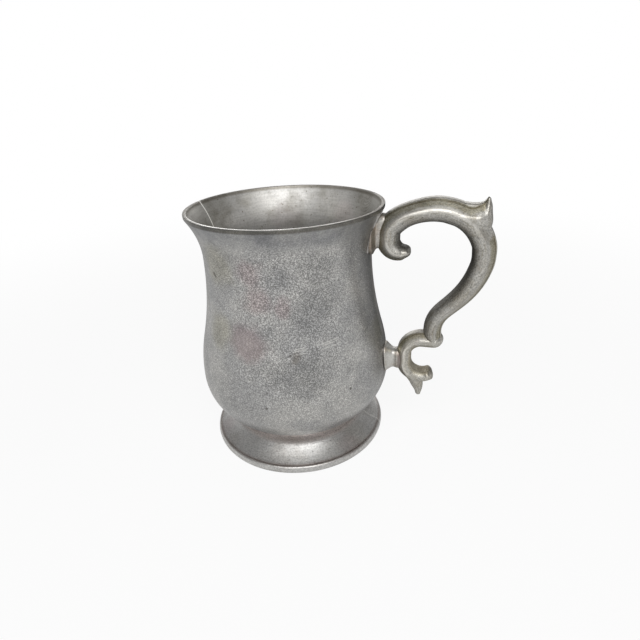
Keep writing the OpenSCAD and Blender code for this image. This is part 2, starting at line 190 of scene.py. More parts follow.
class TankardScroll(bpy.types.PropertyGroup):
    """Sizes of the handle's main scroll and its thumb spur."""
    hook_drop: length("Hook drop", 14.5, "Depth of the hook's centre below the lip")
    gap: length("Gap", 2.8, "Gap between the neck and the hook's back, before its swing")
    curl_radius: length("Curl radius", 5.5, "Radius of the curl that ends the hook")
    curl_turn: angle("Curl turn", 90, "Angle that the curl turns through")
    curl_reach: length("Curl reach", 3, "Length of the curl's straight end")
    curl_lift: length("Curl lift", 0.3, "Rise of the curl's straight end")
    curl_nose: length("Curl nose", 1, "Length of the curl's rounded nose")
    hook_radius: length("Hook radius", 8, "Radius of the hook's back")
    hook_turn: angle("Hook turn", 38, "Angle that the hook's back turns through")
    arch_radius: length("Arch radius", 21.9, "Radius of the arch")
    shoulder_start: angle("Shoulder start", 20.6, "Place on the arch where the tighter shoulder starts")
    shoulder_radius: length("Shoulder radius", 16.1, "Radius of the shoulder")
    shoulder_turn: angle("Shoulder turn", 15.4, "Angle below the horizontal at which the shoulder ends")
    shoulder_pull: length("Shoulder pull", 19.7, "Pull of the shoulder's end on the descending curve")
    bend_pull: length("Bend pull", 12.8, "Pull of the lower bend on the descending curve")
    bend_radius: length("Bend radius", 14, "Radius of the lower bend")
    lap_turn: angle("Lap turn", 20, "Angle from the bend's innermost place to the lap")
    end_turn: angle("End turn", 0.5, "Angle that the bend runs on past the lap")
    end_nose: length("End nose", 2.2, "Length of the lower end's rounded nose")
    nose_depth: length("Nose depth", 3.7, "Thickness at the curl's end")
    nose_width: length("Nose width", 9.6, "Width across the curl's end")
    curl_depth: length("Curl depth", 7.2, "Thickness where the curl's end starts")
    turn_depth: length("Turn depth", 9.5, "Thickness halfway round the curl")
    hook_depth: length("Hook depth", 10.4, "Thickness at the hook's back")
    rise_depth: length("Rise depth", 10.8, "Thickness where the arch starts")
    saddle_depth: length("Saddle depth", 9.9, "Thickness halfway from there to the arch's crown")
    crown_depth: length("Crown depth", 10.5, "Thickness at the arch's crown")
    back_depth: length("Back depth", 10.3, "Thickness at the arch's back, under the spur")
    shoulder_depth: length("Shoulder depth", 9.6, "Thickness where the shoulder ends")
    descent_depth: length("Descent depth", 7.9, "Thickness at the thinnest place of the descending curve")
    bend_depth: length("Bend depth", 8.3, "Thickness at the lower bend")
    end_depth: length("End depth", 7.5, "Thickness at the lower end")
    width: length("Width", 13, "Width across the hook and the arch")
    end_width: length("End width", 11, "Width across the lower end")
    spine: share("Spine", 0.3, "Width of the flat spine, as a share of the scroll's width")
    slope_depth: share("Slope depth", 0.3, "Place across the thickness where the slope beside the spine ends")
    slope_width: share("Slope width", 0.88, "Place across the width where the slope beside the spine ends")
    slope_tilt: angle("Slope tilt", 52, "Tilt of the slope where it turns into the round crest")
    inside: share("Inside", 0.22, "Width of the flat inside, as a share of the scroll's width")
    flank_tilt: angle("Flank tilt", 78, "Tilt of the round flank where it ends at the inside")
    spur_start: angle("Spur start", 80, "Place on the arch where the spur starts, above the horizontal")
    spur_rise: length("Spur rise", 4.9, "Height of the spur's tip above the crown's centre line")
    spur_lean: length("Spur lean", 1.6, "How far the tip stands inside the arch's outermost centre line")
    spur_tip_turn: angle("Spur tip turn", 60, "Angle above the horizontal at which the spur's tip points")
    spur_root_pull: length("Spur root pull", 10.5, "Pull of the spur's root along the arch")
    spur_tip_pull: length("Spur tip pull", 3.7, "Pull of the spur's tip")
    spur_depth: length("Spur depth", 11.6, "Thickness of the spur where it leaves the arch")
    spur_neck_depth: length("Spur neck depth", 5.2, "Thickness of the spur halfway from there to its tip")
    spur_neck_width: length("Spur neck width", 6.4, "Width across the spur at the same place")
    spur_tip_depth: length("Spur tip depth", 1.8, "Thickness of the spur's tip")
    spur_tip_width: length("Spur tip width", 2.6, "Width across the spur's tip")
    inset: length("Inset", 0.4, "How far the spur's start is sunk in the arch")


class TankardLowerScroll(bpy.types.PropertyGroup):
    """Sizes of the lower scroll and its leaf tail."""
    height: length("Height", 46, "Height of the middle of the scroll's back")
    gap: length("Gap", 5.6, "Gap between the belly and the scroll's back")
    back: length("Back", 4.6, "Length of the straight back")
    upper_radius: length("Upper radius", 8.8, "Radius of the upper turn")
    lower_radius: length("Lower radius", 8, "Radius of the lower turn")
    lower_turn: angle("Lower turn", 124, "Angle that the lower turn runs through")
    nose: length("Nose", 1.8, "Length of the lower turn's rounded nose")
    reach: length("Reach", 5, "Reach of the upper arm from the upper turn to the lap")
    depth: length("Depth", 6.8, "Thickness of the scroll")
    end_depth: length("End depth", 5.8, "Thickness of the scroll at its lower end")
    width: length("Width", 10.4, "Width across the scroll")
    inside: share("Inside", 0.6, "Width of the flat inside, as a share of the scroll's width")
    flank_tilt: angle("Flank tilt", 60, "Tilt of the round flank where it ends at the inside")
    lap_depth: length("Lap depth", 7.2, "Thickness of the upper arm at the lap")
    lap_width: length("Lap width", 11, "Width across the upper arm at the lap")
    lap_nose: length("Lap nose", 4.4, "Length of the upper arm's rounded end, under the main scroll")
    tail_start: angle("Tail start", 40, "Place on the lower turn where the tail starts")
    tail_drop: length("Tail drop", 10.6, "Drop of the tail's tip below the lower turn's centre line")
    tail_lean: length("Tail lean", 0.3, "How far the tip lies inside the lower turn's centre")
    tail_root_pull: length("Tail root pull", 6, "Pull of the tail's root, along the scroll")
    tail_tip_pull: length("Tail tip pull", 6, "Pull of the tail's tip, straight down")
    tail_depth: length("Tail depth", 6, "Thickness of the tail where it leaves the scroll")
    tail_tip_depth: length("Tail tip depth", 2.6, "Thickness of the tail's tip")
    tail_tip_width: length("Tail tip width", 3, "Width across the tail's tip")
    inset: length("Inset", 0.4, "How far the tail's start is sunk in the scroll")


class TankardStruts(bpy.types.PropertyGroup):
    """Sizes of the two struts."""
    upper_drop: length("Upper drop", 4.5, "Drop of the upper strut's underside below the hook's centre")
    upper_clear: length("Upper clearance", 3.2, "Clearance between the upper strut and the lip")
    upper_width: length("Upper width", 8.6, "Width across the upper strut at its waist")
    lower_height: length("Lower height", 9.2, "Height of the lower strut at its waist")
    lower_drop: length("Lower drop", 1.4, "Drop of the lower strut below the middle of the scroll's back")
    lower_width: length("Lower width", 6.8, "Width across the lower strut at its waist")
    upper_flare: length("Upper flare", 2.8, "Spread of the upper strut at the bowl, on each side")
    lower_flare: length("Lower flare", 3, "Spread of the lower strut at the bowl, on each side")
    scroll_flare: length("Scroll flare", 0.8, "Spread of the lower strut at its scroll, on each side")
    solder: length("Solder", 0.3, "Thickness of the solder layer in a joint")


class TankardFinish(bpy.types.PropertyGroup):
    """Colours and grain of the metal."""
    pewter: tint("Pewter", (0.425, 0.42, 0.41), "Colour of the cast body")
    inside: tint("Inside", (0.56, 0.55, 0.53), "Colour of the turned inside")
    handle: tint("Handle pewter", (0.43, 0.42, 0.392), "Colour of the handle")
    solder: tint("Solder", (0.5, 0.49, 0.47), "Colour of the soft solder")
    # This colour also paints highlights on the lip and up the bowl's edge by the handle
    rubbed: tint("Rubbed", (0.68, 0.67, 0.64), "Colour of edges that hands and cloths have rubbed bright")
    blush: tint("Blush", (0.85, 0.765, 0.775), "Tint of the pinkish stains")
    # The slate tint also makes the painted dark reflection at the front of the bowl
    slate: tint("Slate", (0.72, 0.725, 0.73), "Tint of the dark clouds")
    olive: tint("Olive", (0.82, 0.8, 0.7), "Tint of the yellowish tarnish")
    grime: tint("Grime", (0.42, 0.37, 0.31), "Tint of old dirt in the hollows")
    grain: length("Grain", 0.5, "Size of the as-cast grain")


class TankardStage(bpy.types.PropertyGroup):
    """Camera, lights and floor."""
    camera_place: spot("Camera place", (72.56, -199.37, 165.84), "Where the camera stands")
    camera_turn: bpy.props.FloatVectorProperty(
        name="Camera turn", description="Tilt, roll and heading of the camera", size=3, subtype="EULER",
        default=(math.radians(64.330), math.radians(2.686), math.radians(15.340)))
    lens: level("Lens", 25.852, "Focal length for a 36 mm sensor")
    shift_x: number("Shift X", 0.0041, "Sideways shift of the lens")
    shift_y: number("Shift Y", -0.0119, "Upward shift of the lens")
    key_place: spot("Key place", (98, -359, 470), "Where the large soft light hangs, above the camera")
    key_power: level("Key power", 2.1, "Power of the large soft light, in watts")
    key_width: length("Key width", 500, "Width of the large soft light")
    key_height: length("Key height", 400, "Height of the large soft light")
    ceiling: share("Ceiling", 0.24, "Brightness of the room overhead")
    front: share("Front", 0.7, "Brightness of the room behind the camera")
    glow: level("Glow", 2.2, "Brightness of the soft strip of light behind the tankard")
    shade: share("Shade", 0.9, "How far the room is dimmed behind the tankard and its handle")
    floor_size: length("Floor size", 6000, "Width of the pale floor")


def deselect():
    """Leaves nothing selected, so that an operator acts only on what comes next."""
    if bpy.context.mode != "OBJECT":
        bpy.ops.object.mode_set(mode="OBJECT")
    bpy.ops.object.select_all(action="DESELECT")


# Outlines and centre lines

def arc(centre, radius, start, end, steps=ARC_STEPS):
    """Points on a circular arc, in equal steps between two angles."""
    turns = np.linspace(start, end, steps + 1)
    return np.column_stack((centre[0] + radius * np.cos(turns), centre[1] + radius * np.sin(turns)))


def bezier(start, first_pull, last_pull, end, steps=ARC_STEPS):
    """Points on a cubic curve with two end points and two pull points."""
    t = np.linspace(0, 1, steps + 1)[:, None]
    u = 1 - t
    ends = u ** 3 * np.array(start) + t ** 3 * np.array(end)
    return ends + 3 * u * u * t * np.array(first_pull) + 3 * u * t * t * np.array(last_pull)


def fresh(points):
    """Which points of a run differ from the one before."""
    steps = np.linalg.norm(np.diff(points, axis=0), axis=1)
    return np.concatenate(([True], steps > SAME_PLACE))


def chain(parts):
    """Runs of points joined into one, without a point that repeats the one before it."""
    points = np.vstack([np.atleast_2d(part) for part in parts])
    return points[fresh(points)]


class BowlCurves:
    """Arcs of the bowl's outline, worked out from its sizes."""

    def __init__(self):
        sizes = bpy.context.scene.tankard_bowl
        foot = bpy.context.scene.tankard_foot
        self.sizes = sizes
        self.bottom = foot.height
        self.floor = foot.height + sizes.floor
        self.lip = np.array((sizes.lip_radius - sizes.wall / 2, sizes.height - sizes.wall / 2))
        rise = self.lip[1] - sizes.neck_height
        out = sizes.lip_radius - sizes.neck_radius
        self.flare = (rise * rise + out * out) / (2 * out)
        self.flare_centre = (sizes.neck_radius - sizes.wall / 2 + self.flare, sizes.neck_height)
        self.flare_turn = math.asin(rise / self.flare)
        bulge = sizes.belly_radius - sizes.neck_radius
        drop = sizes.neck_height - sizes.belly_height
        self.neck = (bulge * bulge + drop * drop) / (2 * bulge) - sizes.belly_bow
        self.neck_centre = (sizes.neck_radius + self.neck, sizes.neck_height)
        self.belly_centre = (sizes.belly_radius - sizes.belly_bow, sizes.belly_height)
        self.swell_turn = math.asin(drop / (self.neck + sizes.belly_bow))
        self.swell_height = sizes.belly_height + sizes.belly_bow * math.sin(self.swell_turn)
        under_in = sizes.belly_radius - sizes.base_radius
        under_drop = sizes.belly_height - self.bottom
        self.under = (under_in * under_in + under_drop * under_drop) / (2 * under_in)
        self.under_centre = (sizes.belly_radius - self.under, sizes.belly_height)
        self.under_turn = math.atan2(under_drop, self.under - under_in)

    def radius(self, height):
        """Outer radius at a height above the widest place."""
        sizes = self.sizes
        if height > sizes.neck_height:
            outer = self.flare - sizes.wall / 2
            return self.flare_centre[0] - math.sqrt(outer ** 2 - (height - sizes.neck_height) ** 2)
        if height > self.swell_height:
            return self.neck_centre[0] - math.sqrt(self.neck ** 2 - (height - sizes.neck_height) ** 2)
        return self.belly_centre[0] + math.sqrt(sizes.belly_bow ** 2 - (height - sizes.belly_height) ** 2)

    def outer(self, gap=0):
        """Outer face from the underside to the lip, moved out by a gap."""
        sizes = self.sizes
        flare = self.flare - sizes.wall / 2 - gap
        return chain([
            arc(self.under_centre, self.under + gap, -self.under_turn, 0),
            arc(self.belly_centre, sizes.belly_bow + gap, 0, self.swell_turn),
            arc(self.neck_centre, self.neck - gap, HALF_TURN + self.swell_turn, HALF_TURN),
            arc(self.flare_centre, flare, HALF_TURN, HALF_TURN - self.flare_turn)])

    def inner(self):
        """Inner face from the lip to the flat bottom, with a rounded corner."""
        sizes = self.sizes
        within = self.under - sizes.wall
        above = self.floor + sizes.corner
        stop = math.asin((sizes.belly_height - above) / within)
        wall_end = arc(self.under_centre, within, -stop, -stop, 1)[0]
        slant = np.array((math.sin(stop), math.cos(stop)))
        corner = wall_end - slant * (wall_end[1] - self.floor) / slant[1]
        floor_end = corner - np.array((sizes.corner, 0))
        roundness = 0.6
        wall_pull = wall_end + roundness * (corner - wall_end)
        floor_pull = floor_end + roundness * (corner - floor_end)
        return chain([
            arc(self.flare_centre, self.flare + sizes.wall / 2, HALF_TURN - self.flare_turn, HALF_TURN),
            arc(self.neck_centre, self.neck + sizes.wall, HALF_TURN, HALF_TURN + self.swell_turn),
            arc(self.belly_centre, sizes.belly_bow - sizes.wall, self.swell_turn, 0),
            arc(self.under_centre, within, 0, -stop),
            bezier(wall_end, wall_pull, floor_pull, floor_end)])

    def profile(self):
        """Whole outline of the bowl's wall."""
        sizes = self.sizes
        outer = self.outer()
        inner = self.inner()
        rising = np.array((math.sin(self.flare_turn), math.cos(self.flare_turn)))
        top = sizes.height + sizes.lip_rise
        edge = sizes.lip_radius + sizes.lip_edge
        leave = outer[-1] + 0.6 * MM * rising
        rise_end = (edge, top - 1.6 * MM)
        low_edge = (edge, top - sizes.lip_corner)
        top_edge = (edge - sizes.lip_corner, top)
        in_edge = (inner[0][0] + sizes.lip_inner, top)
        fall = (inner[0][0] + 0.3 * MM, top)
        meet = inner[0] + 0.4 * MM * rising
        return chain([
            outer,
            bezier(outer[-1], leave, rise_end, low_edge),
            bezier(low_edge, (edge, top), (edge, top), top_edge, ARC_STEPS // 2),
            bezier(in_edge, fall, meet, inner[0]),
            inner,
            [(sizes.plug_radius, self.floor),
             (sizes.plug_radius, self.bottom + sizes.flange),
             (sizes.rebate_radius, self.bottom + sizes.flange),
             (sizes.rebate_radius, self.bottom),
             (sizes.base_radius, self.bottom)]])


class HandleCurves:
    """Centre lines of the handle in its plane, as across and up from the bowl's axis at the table."""

    def __init__(self):
        bowl = BowlCurves()
        scroll = bpy.context.scene.tankard_scroll
        lower = bpy.context.scene.tankard_lower
        self.bowl = bowl
        self.scroll = scroll
        self.lower = lower
        hook_height = bowl.sizes.height - scroll.hook_drop
        hook_out = bowl.radius(hook_height) + scroll.gap + scroll.hook_depth / 2 + scroll.hook_radius
        self.hook = np.array((hook_out, hook_height))
        self.curl = self.hook + (scroll.curl_radius - scroll.hook_radius, 0)
        lean = np.array((math.cos(scroll.hook_turn), -math.sin(scroll.hook_turn)))
        self.arch = self.hook + (scroll.arch_radius - scroll.hook_radius) * lean
        self.back = bowl.radius(lower.height) + lower.gap + lower.depth / 2
        self.upper_turn = np.array((self.back + lower.upper_radius, lower.height + lower.back / 2))
        self.lower_turn = np.array((self.back + lower.lower_radius, lower.height - lower.back / 2))
        self.lap = self.upper_turn + (lower.reach, lower.upper_radius)
        outward = np.array((math.cos(scroll.lap_turn), math.sin(scroll.lap_turn)))
        self.bend = self.lap + scroll.bend_radius * outward

    def main(self):
        """Main scroll: curl, hook, arch, descending curve and lower bend."""
        scroll = self.scroll
        rise = HALF_TURN - scroll.hook_turn
        begin = scroll.shoulder_start
        stop = scroll.shoulder_turn
        outward = np.array((math.cos(begin), math.sin(begin)))
        shoulder_centre = self.arch + (scroll.arch_radius - scroll.shoulder_radius) * outward
        shoulder = arc(shoulder_centre, scroll.shoulder_radius, begin, -stop, ARC_STEPS // 2)
        shoulder_pull = -scroll.shoulder_pull * np.array((math.sin(stop), math.cos(stop)))
        bend_top = self.bend - (scroll.bend_radius, 0)
        bend_pull = bend_top + (0, scroll.bend_pull)
        descent = bezier(shoulder[-1], shoulder[-1] + shoulder_pull, bend_pull, bend_top)
        bend_stop = HALF_TURN + scroll.lap_turn + scroll.end_turn
        curl = arc(self.curl, scroll.curl_radius, scroll.curl_turn - HALF_TURN, -HALF_TURN)
        curl_end = curl[0] + (scroll.curl_reach, scroll.curl_lift)
        legs = [
            (bezier(curl_end, curl_end, curl[0], curl[0], ARC_STEPS // 2), -0.4, 0),
            (curl, 0, 1),
            (arc(self.hook, scroll.hook_radius, HALF_TURN, rise), 1, 2),
            (arc(self.arch, scroll.arch_radius, rise, begin, 2 * ARC_STEPS), 2, 3.8),
            (shoulder, 3.8, 4.2),
            (descent, 4.2, 5),
            (arc(self.bend, scroll.bend_radius, HALF_TURN, bend_stop, ARC_STEPS // 2), 5, 5.5)]
        points, marks, _ = numbered(legs)
        swing = follow(marks, SWING) * MM
        return measured(points + swing[:, None] * left_of(points), marks)

    def spur(self):
        """Spine of the thumb spur, which leaves the arch and turns up."""
        scroll = self.scroll
        outward = np.array((math.cos(scroll.spur_start), math.sin(scroll.spur_start)))
        along = np.array((outward[1], -outward[0]))
        root = self.arch + (scroll.arch_radius + scroll.crown_depth / 2 - scroll.inset) * outward
        tip = self.arch + (scroll.arch_radius - scroll.spur_lean, scroll.arch_radius + scroll.spur_rise)
        point = np.array((math.cos(scroll.spur_tip_turn), math.sin(scroll.spur_tip_turn)))
        pull = scroll.spur_tip_pull * point
        curve = bezier(root, root + scroll.spur_root_pull * along, tip - pull, tip, 4 * ARC_STEPS)
        return numbered([(curve, 0, 1)])

    def lower_c(self):
        """Lower scroll, from the lap round its two turns."""
        lower = self.lower
        legs = [
            (np.array([self.lap, self.upper_turn + (0, lower.upper_radius)]), 0, 0.1),
            (arc(self.upper_turn, lower.upper_radius, QUARTER_TURN, HALF_TURN), 0.1, 1.1),
            (arc(self.lower_turn, lower.lower_radius, HALF_TURN, HALF_TURN + lower.lower_turn), 1.2, 2.2)]
        return numbered(legs)

    def tail(self):
        """Leaf tail, which leaves the lower turn and hangs down."""
        lower = self.lower
        outward = np.array((math.cos(lower.tail_start), math.sin(lower.tail_start)))
        along = np.array((outward[1], -outward[0]))
        root = self.lower_turn - lower.lower_radius * outward
        tip = self.lower_turn - (lower.tail_lean, lower.lower_radius + lower.tail_drop)
        curve = bezier(root, root + lower.tail_root_pull * along, tip + (0, lower.tail_tip_pull), tip)
        return numbered([(curve, 0, 1)])


def left_of(points):
    """Directions square to a path, to the left of its travel."""
    along = np.gradient(points, axis=0)
    along = along / np.linalg.norm(along, axis=1)[:, None]
    return np.column_stack((-along[:, 1], along[:, 0]))


def measured(points, marks):
    """A path: its points, its marks and the distance along at each point."""
    travel = np.concatenate(([0], np.cumsum(np.linalg.norm(np.diff(points, axis=0), axis=1))))
    return points, marks, travel


def numbered(legs):
    """A path of several legs, with a running leg number as its marks."""
    points = np.vstack([leg[0] for leg in legs])
    marks = np.concatenate([np.linspace(leg[1], leg[2], len(leg[0])) for leg in legs])
    new = fresh(points)
    return measured(points[new], marks[new])


# Modelling steps

def draw(name, points):
    """A chain of edges, drawn by extruding one vertex from point to point."""
    deselect()
    bpy.ops.mesh.primitive_plane_add(size=SEED, location=(0, 0, 0))
    piece = bpy.context.object
    piece.name = name
    piece.data.name = name
    bpy.ops.object.mode_set(mode="EDIT")
    bpy.ops.mesh.select_all(action="SELECT")
    bpy.ops.mesh.merge(type="CENTER")
    bpy.ops.mesh.select_all(action="SELECT")
    places = [Vector(point) for point in points]
    bpy.ops.transform.translate(value=places[0])
    for before, after in zip(places, places[1:]):
        bpy.ops.mesh.extrude_vertices_move(TRANSFORM_OT_translate={"value": after - before})
    bpy.ops.mesh.select_all(action="SELECT")
    return piece


def spun(name, profile):
    """A turned piece: its closed outline spun round the upright axis."""
    outline = [(across, 0, up) for across, up in profile]
    piece = draw(name, outline)
    bpy.ops.mesh.remove_doubles(threshold=SAME_PLACE)
    bpy.ops.mesh.spin(steps=TURN_STEPS, angle=math.tau, center=(0, 0, 0), axis=(0, 0, 1))
    bpy.ops.mesh.select_all(action="SELECT")
    bpy.ops.mesh.remove_doubles(threshold=10 * SAME_PLACE)
    bpy.ops.mesh.normals_make_consistent(inside=False)
    bpy.ops.object.mode_set(mode="OBJECT")
    return piece


def swell(edge, lean, tilt):
    """Share of the half width on a round that starts at an edge with a tilt and is fullest with no lean."""
    return edge + (1 - edge) * (math.cos(lean) - math.cos(tilt)) / (1 - math.cos(tilt))


def scroll_section(sizes, flank):
    """Outline of a scroll's section in shares of its half sizes: spine, slope, crest, flank and inside."""
    steps = 9
    tilt = sizes.slope_tilt
    half = [(1, 0), (1, sizes.spine), ((1 + sizes.slope_depth) / 2, (sizes.spine + sizes.slope_width) / 2)]
    for step in range(steps + 1):
        lean = tilt * (1 - step / steps)
        deep = sizes.slope_depth * math.sin(lean) / math.sin(tilt)
        half.append((deep, swell(sizes.slope_width, lean, tilt)))
    tilt = flank.flank_tilt
    for step in range(1, steps + 1):
        lean = tilt * step / steps
        half.append((-math.sin(lean) / math.sin(tilt), swell(flank.inside, lean, tilt)))
    half.append((-1, 0))
    return half + [(deep, -wide) for deep, wide in reversed(half[1:-1])]


def bar(name, outline, stations, spine, lead=0):
    """A straight bar along X: a filled outline, extruded and resized from station to station."""
    travel, depth, width = stations[0]
    points = [(travel, spine * (deep - lead) * depth / 2, wide * width / 2) for deep, wide in outline]
    piece = draw(name, points + points[:1])
    bpy.ops.mesh.remove_doubles(threshold=SAME_PLACE)
    bpy.ops.mesh.edge_face_add()
    for after in stations[1:]:
        bpy.ops.mesh.extrude_region_move(TRANSFORM_OT_translate={"value": (after[0] - travel, 0, 0)})
        bpy.ops.transform.resize(
            value=(1, after[1] / depth, after[2] / width), center_override=(after[0], 0, 0))
        travel, depth, width = after
    bpy.ops.mesh.select_all(action="SELECT")
    bpy.ops.mesh.normals_make_consistent(inside=False)
    bpy.ops.object.mode_set(mode="OBJECT")
    return piece


def follow(marks, stations):
    """Sizes at each mark, on a smooth curve through the stations that never overshoots them."""
    at, size = np.array(stations, float).T
    slope = np.diff(size) / np.diff(at)
    lean = np.concatenate((slope[:1], np.zeros(len(at) - 2), slope[-1:]))
    for k in range(1, len(at) - 1):
        if slope[k - 1] * slope[k] > 0:
            lean[k] = 2 * slope[k - 1] * slope[k] / (slope[k - 1] + slope[k])
    leg = np.clip(np.searchsorted(at, marks, side="right") - 1, 0, len(slope) - 1)
    step = at[leg + 1] - at[leg]
    t = np.clip((marks - at[leg]) / step, 0, 1)
    u = 1 - t
    start = u * u * ((1 + 2 * t) * size[leg] + t * step * lean[leg])
    return start + t * t * ((1 + 2 * u) * size[leg + 1] - u * step * lean[leg + 1])


def sweep(name, path, depths, widths, noses, flank, spine, lead=0):
    """A scroll: a bar with rounded noses, bent along its path and stood up in the handle's plane."""
    points, marks, travel = path
    depth = follow(marks, depths)
    width = follow(marks, widths)
    stations = list(zip(travel, depth, width))
    for degrees in (15, 30, 45, 58, 70, 80, 87):
        out = math.sin(math.radians(degrees))
        full = math.cos(math.radians(degrees))
        if noses[0] > 0:
            stations.insert(0, (-noses[0] * out, depth[0] * full, width[0] * full))
        stations.append((travel[-1] + noses[1] * out, depth[-1] * full, width[-1] * full))
    piece = bar(name, scroll_section(bpy.context.scene.tankard_scroll, flank), stations, spine, lead)
    guide = bpy.data.curves.new("guide", "CURVE")
    guide.dimensions = "2D"
    line = guide.splines.new("POLY")
    line.points.add(len(points) - 1)
    for place, (across, up) in zip(line.points, points):
        place.co = (across, up, 0, 1)
    rail = bpy.data.objects.new("guide", guide)
    bpy.context.scene.collection.objects.link(rail)
    apply(piece, "CURVE", {"object": rail, "deform_axis": "POS_X"})
    bpy.data.objects.remove(rail)
    bpy.data.curves.remove(guide)
    piece.rotation_euler = (QUARTER_TURN, 0, 0)
    bpy.ops.object.transform_apply(location=False, rotation=True, scale=False)
    return piece


def take(piece):
    """Leaves one piece selected and active."""
    deselect()
    piece.select_set(True)
    bpy.context.view_layer.objects.active = piece


def apply(piece, kind, settings):
    """Adds a modifier to the active piece, with its settings, and applies it."""
    modifier = piece.modifiers.new(kind, kind)
    for name, setting in settings.items():
        setattr(modifier, name, setting)
    bpy.ops.object.modifier_apply(modifier=modifier.name)


def join(piece, other):
    """Makes another mesh part of a piece."""
    take(piece)
    other.select_set(True)
    bpy.ops.object.join()


def cut(piece, tool):
    """Cuts a piece to the face of another shape, which is then removed."""
    take(piece)
    apply(piece, "BOOLEAN", {"operation": "DIFFERENCE", "solver": "EXACT", "object": tool})
    bpy.data.objects.remove(tool)


def cast(piece, voxel, rounds):
    """Melts a piece's shapes into one skin with soft edges, as a casting has."""
    take(piece)
    apply(piece, "REMESH", {"mode": "VOXEL", "voxel_size": voxel, "use_smooth_shade": True})
    apply(piece, "SMOOTH", {"factor": 0.5, "iterations": rounds})
    bpy.ops.object.shade_smooth()


def settle(piece, nodes, finishes):
    """Puts a finished piece in the place of its CAD nodes and gives it its finishes."""
    for finish in finishes:
        piece.data.materials.append(finish)
    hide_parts(*nodes)
    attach(piece, "root")


# Materials

class Value:
    """A shader value: a socket that adds, subtracts, multiplies and divides as numbers do."""

    def __init__(self, finish, socket):
        self.finish = finish
        self.socket = socket

    def math(self, operation, first, second):
        """One step of arithmetic."""
        return self.finish.node("ShaderNodeMath", {"operation": operation}, {0: first, 1: second})

    def __add__(self, other):
        return self.math("ADD", self, other)

    __radd__ = __add__

    def __sub__(self, other):
        return self.math("SUBTRACT", self, other)

    def __rsub__(self, other):
        return self.math("SUBTRACT", other, self)

    def __mul__(self, other):
        return self.math("MULTIPLY", self, other)

    __rmul__ = __mul__

    def __truediv__(self, other):
        return self.math("DIVIDE", self, other)

    def __rtruediv__(self, other):
        return self.math("DIVIDE", other, self)

    def __pow__(self, other):
        return self.math("POWER", self, other)

    def __abs__(self):
        return self.math("ABSOLUTE", self, 0)


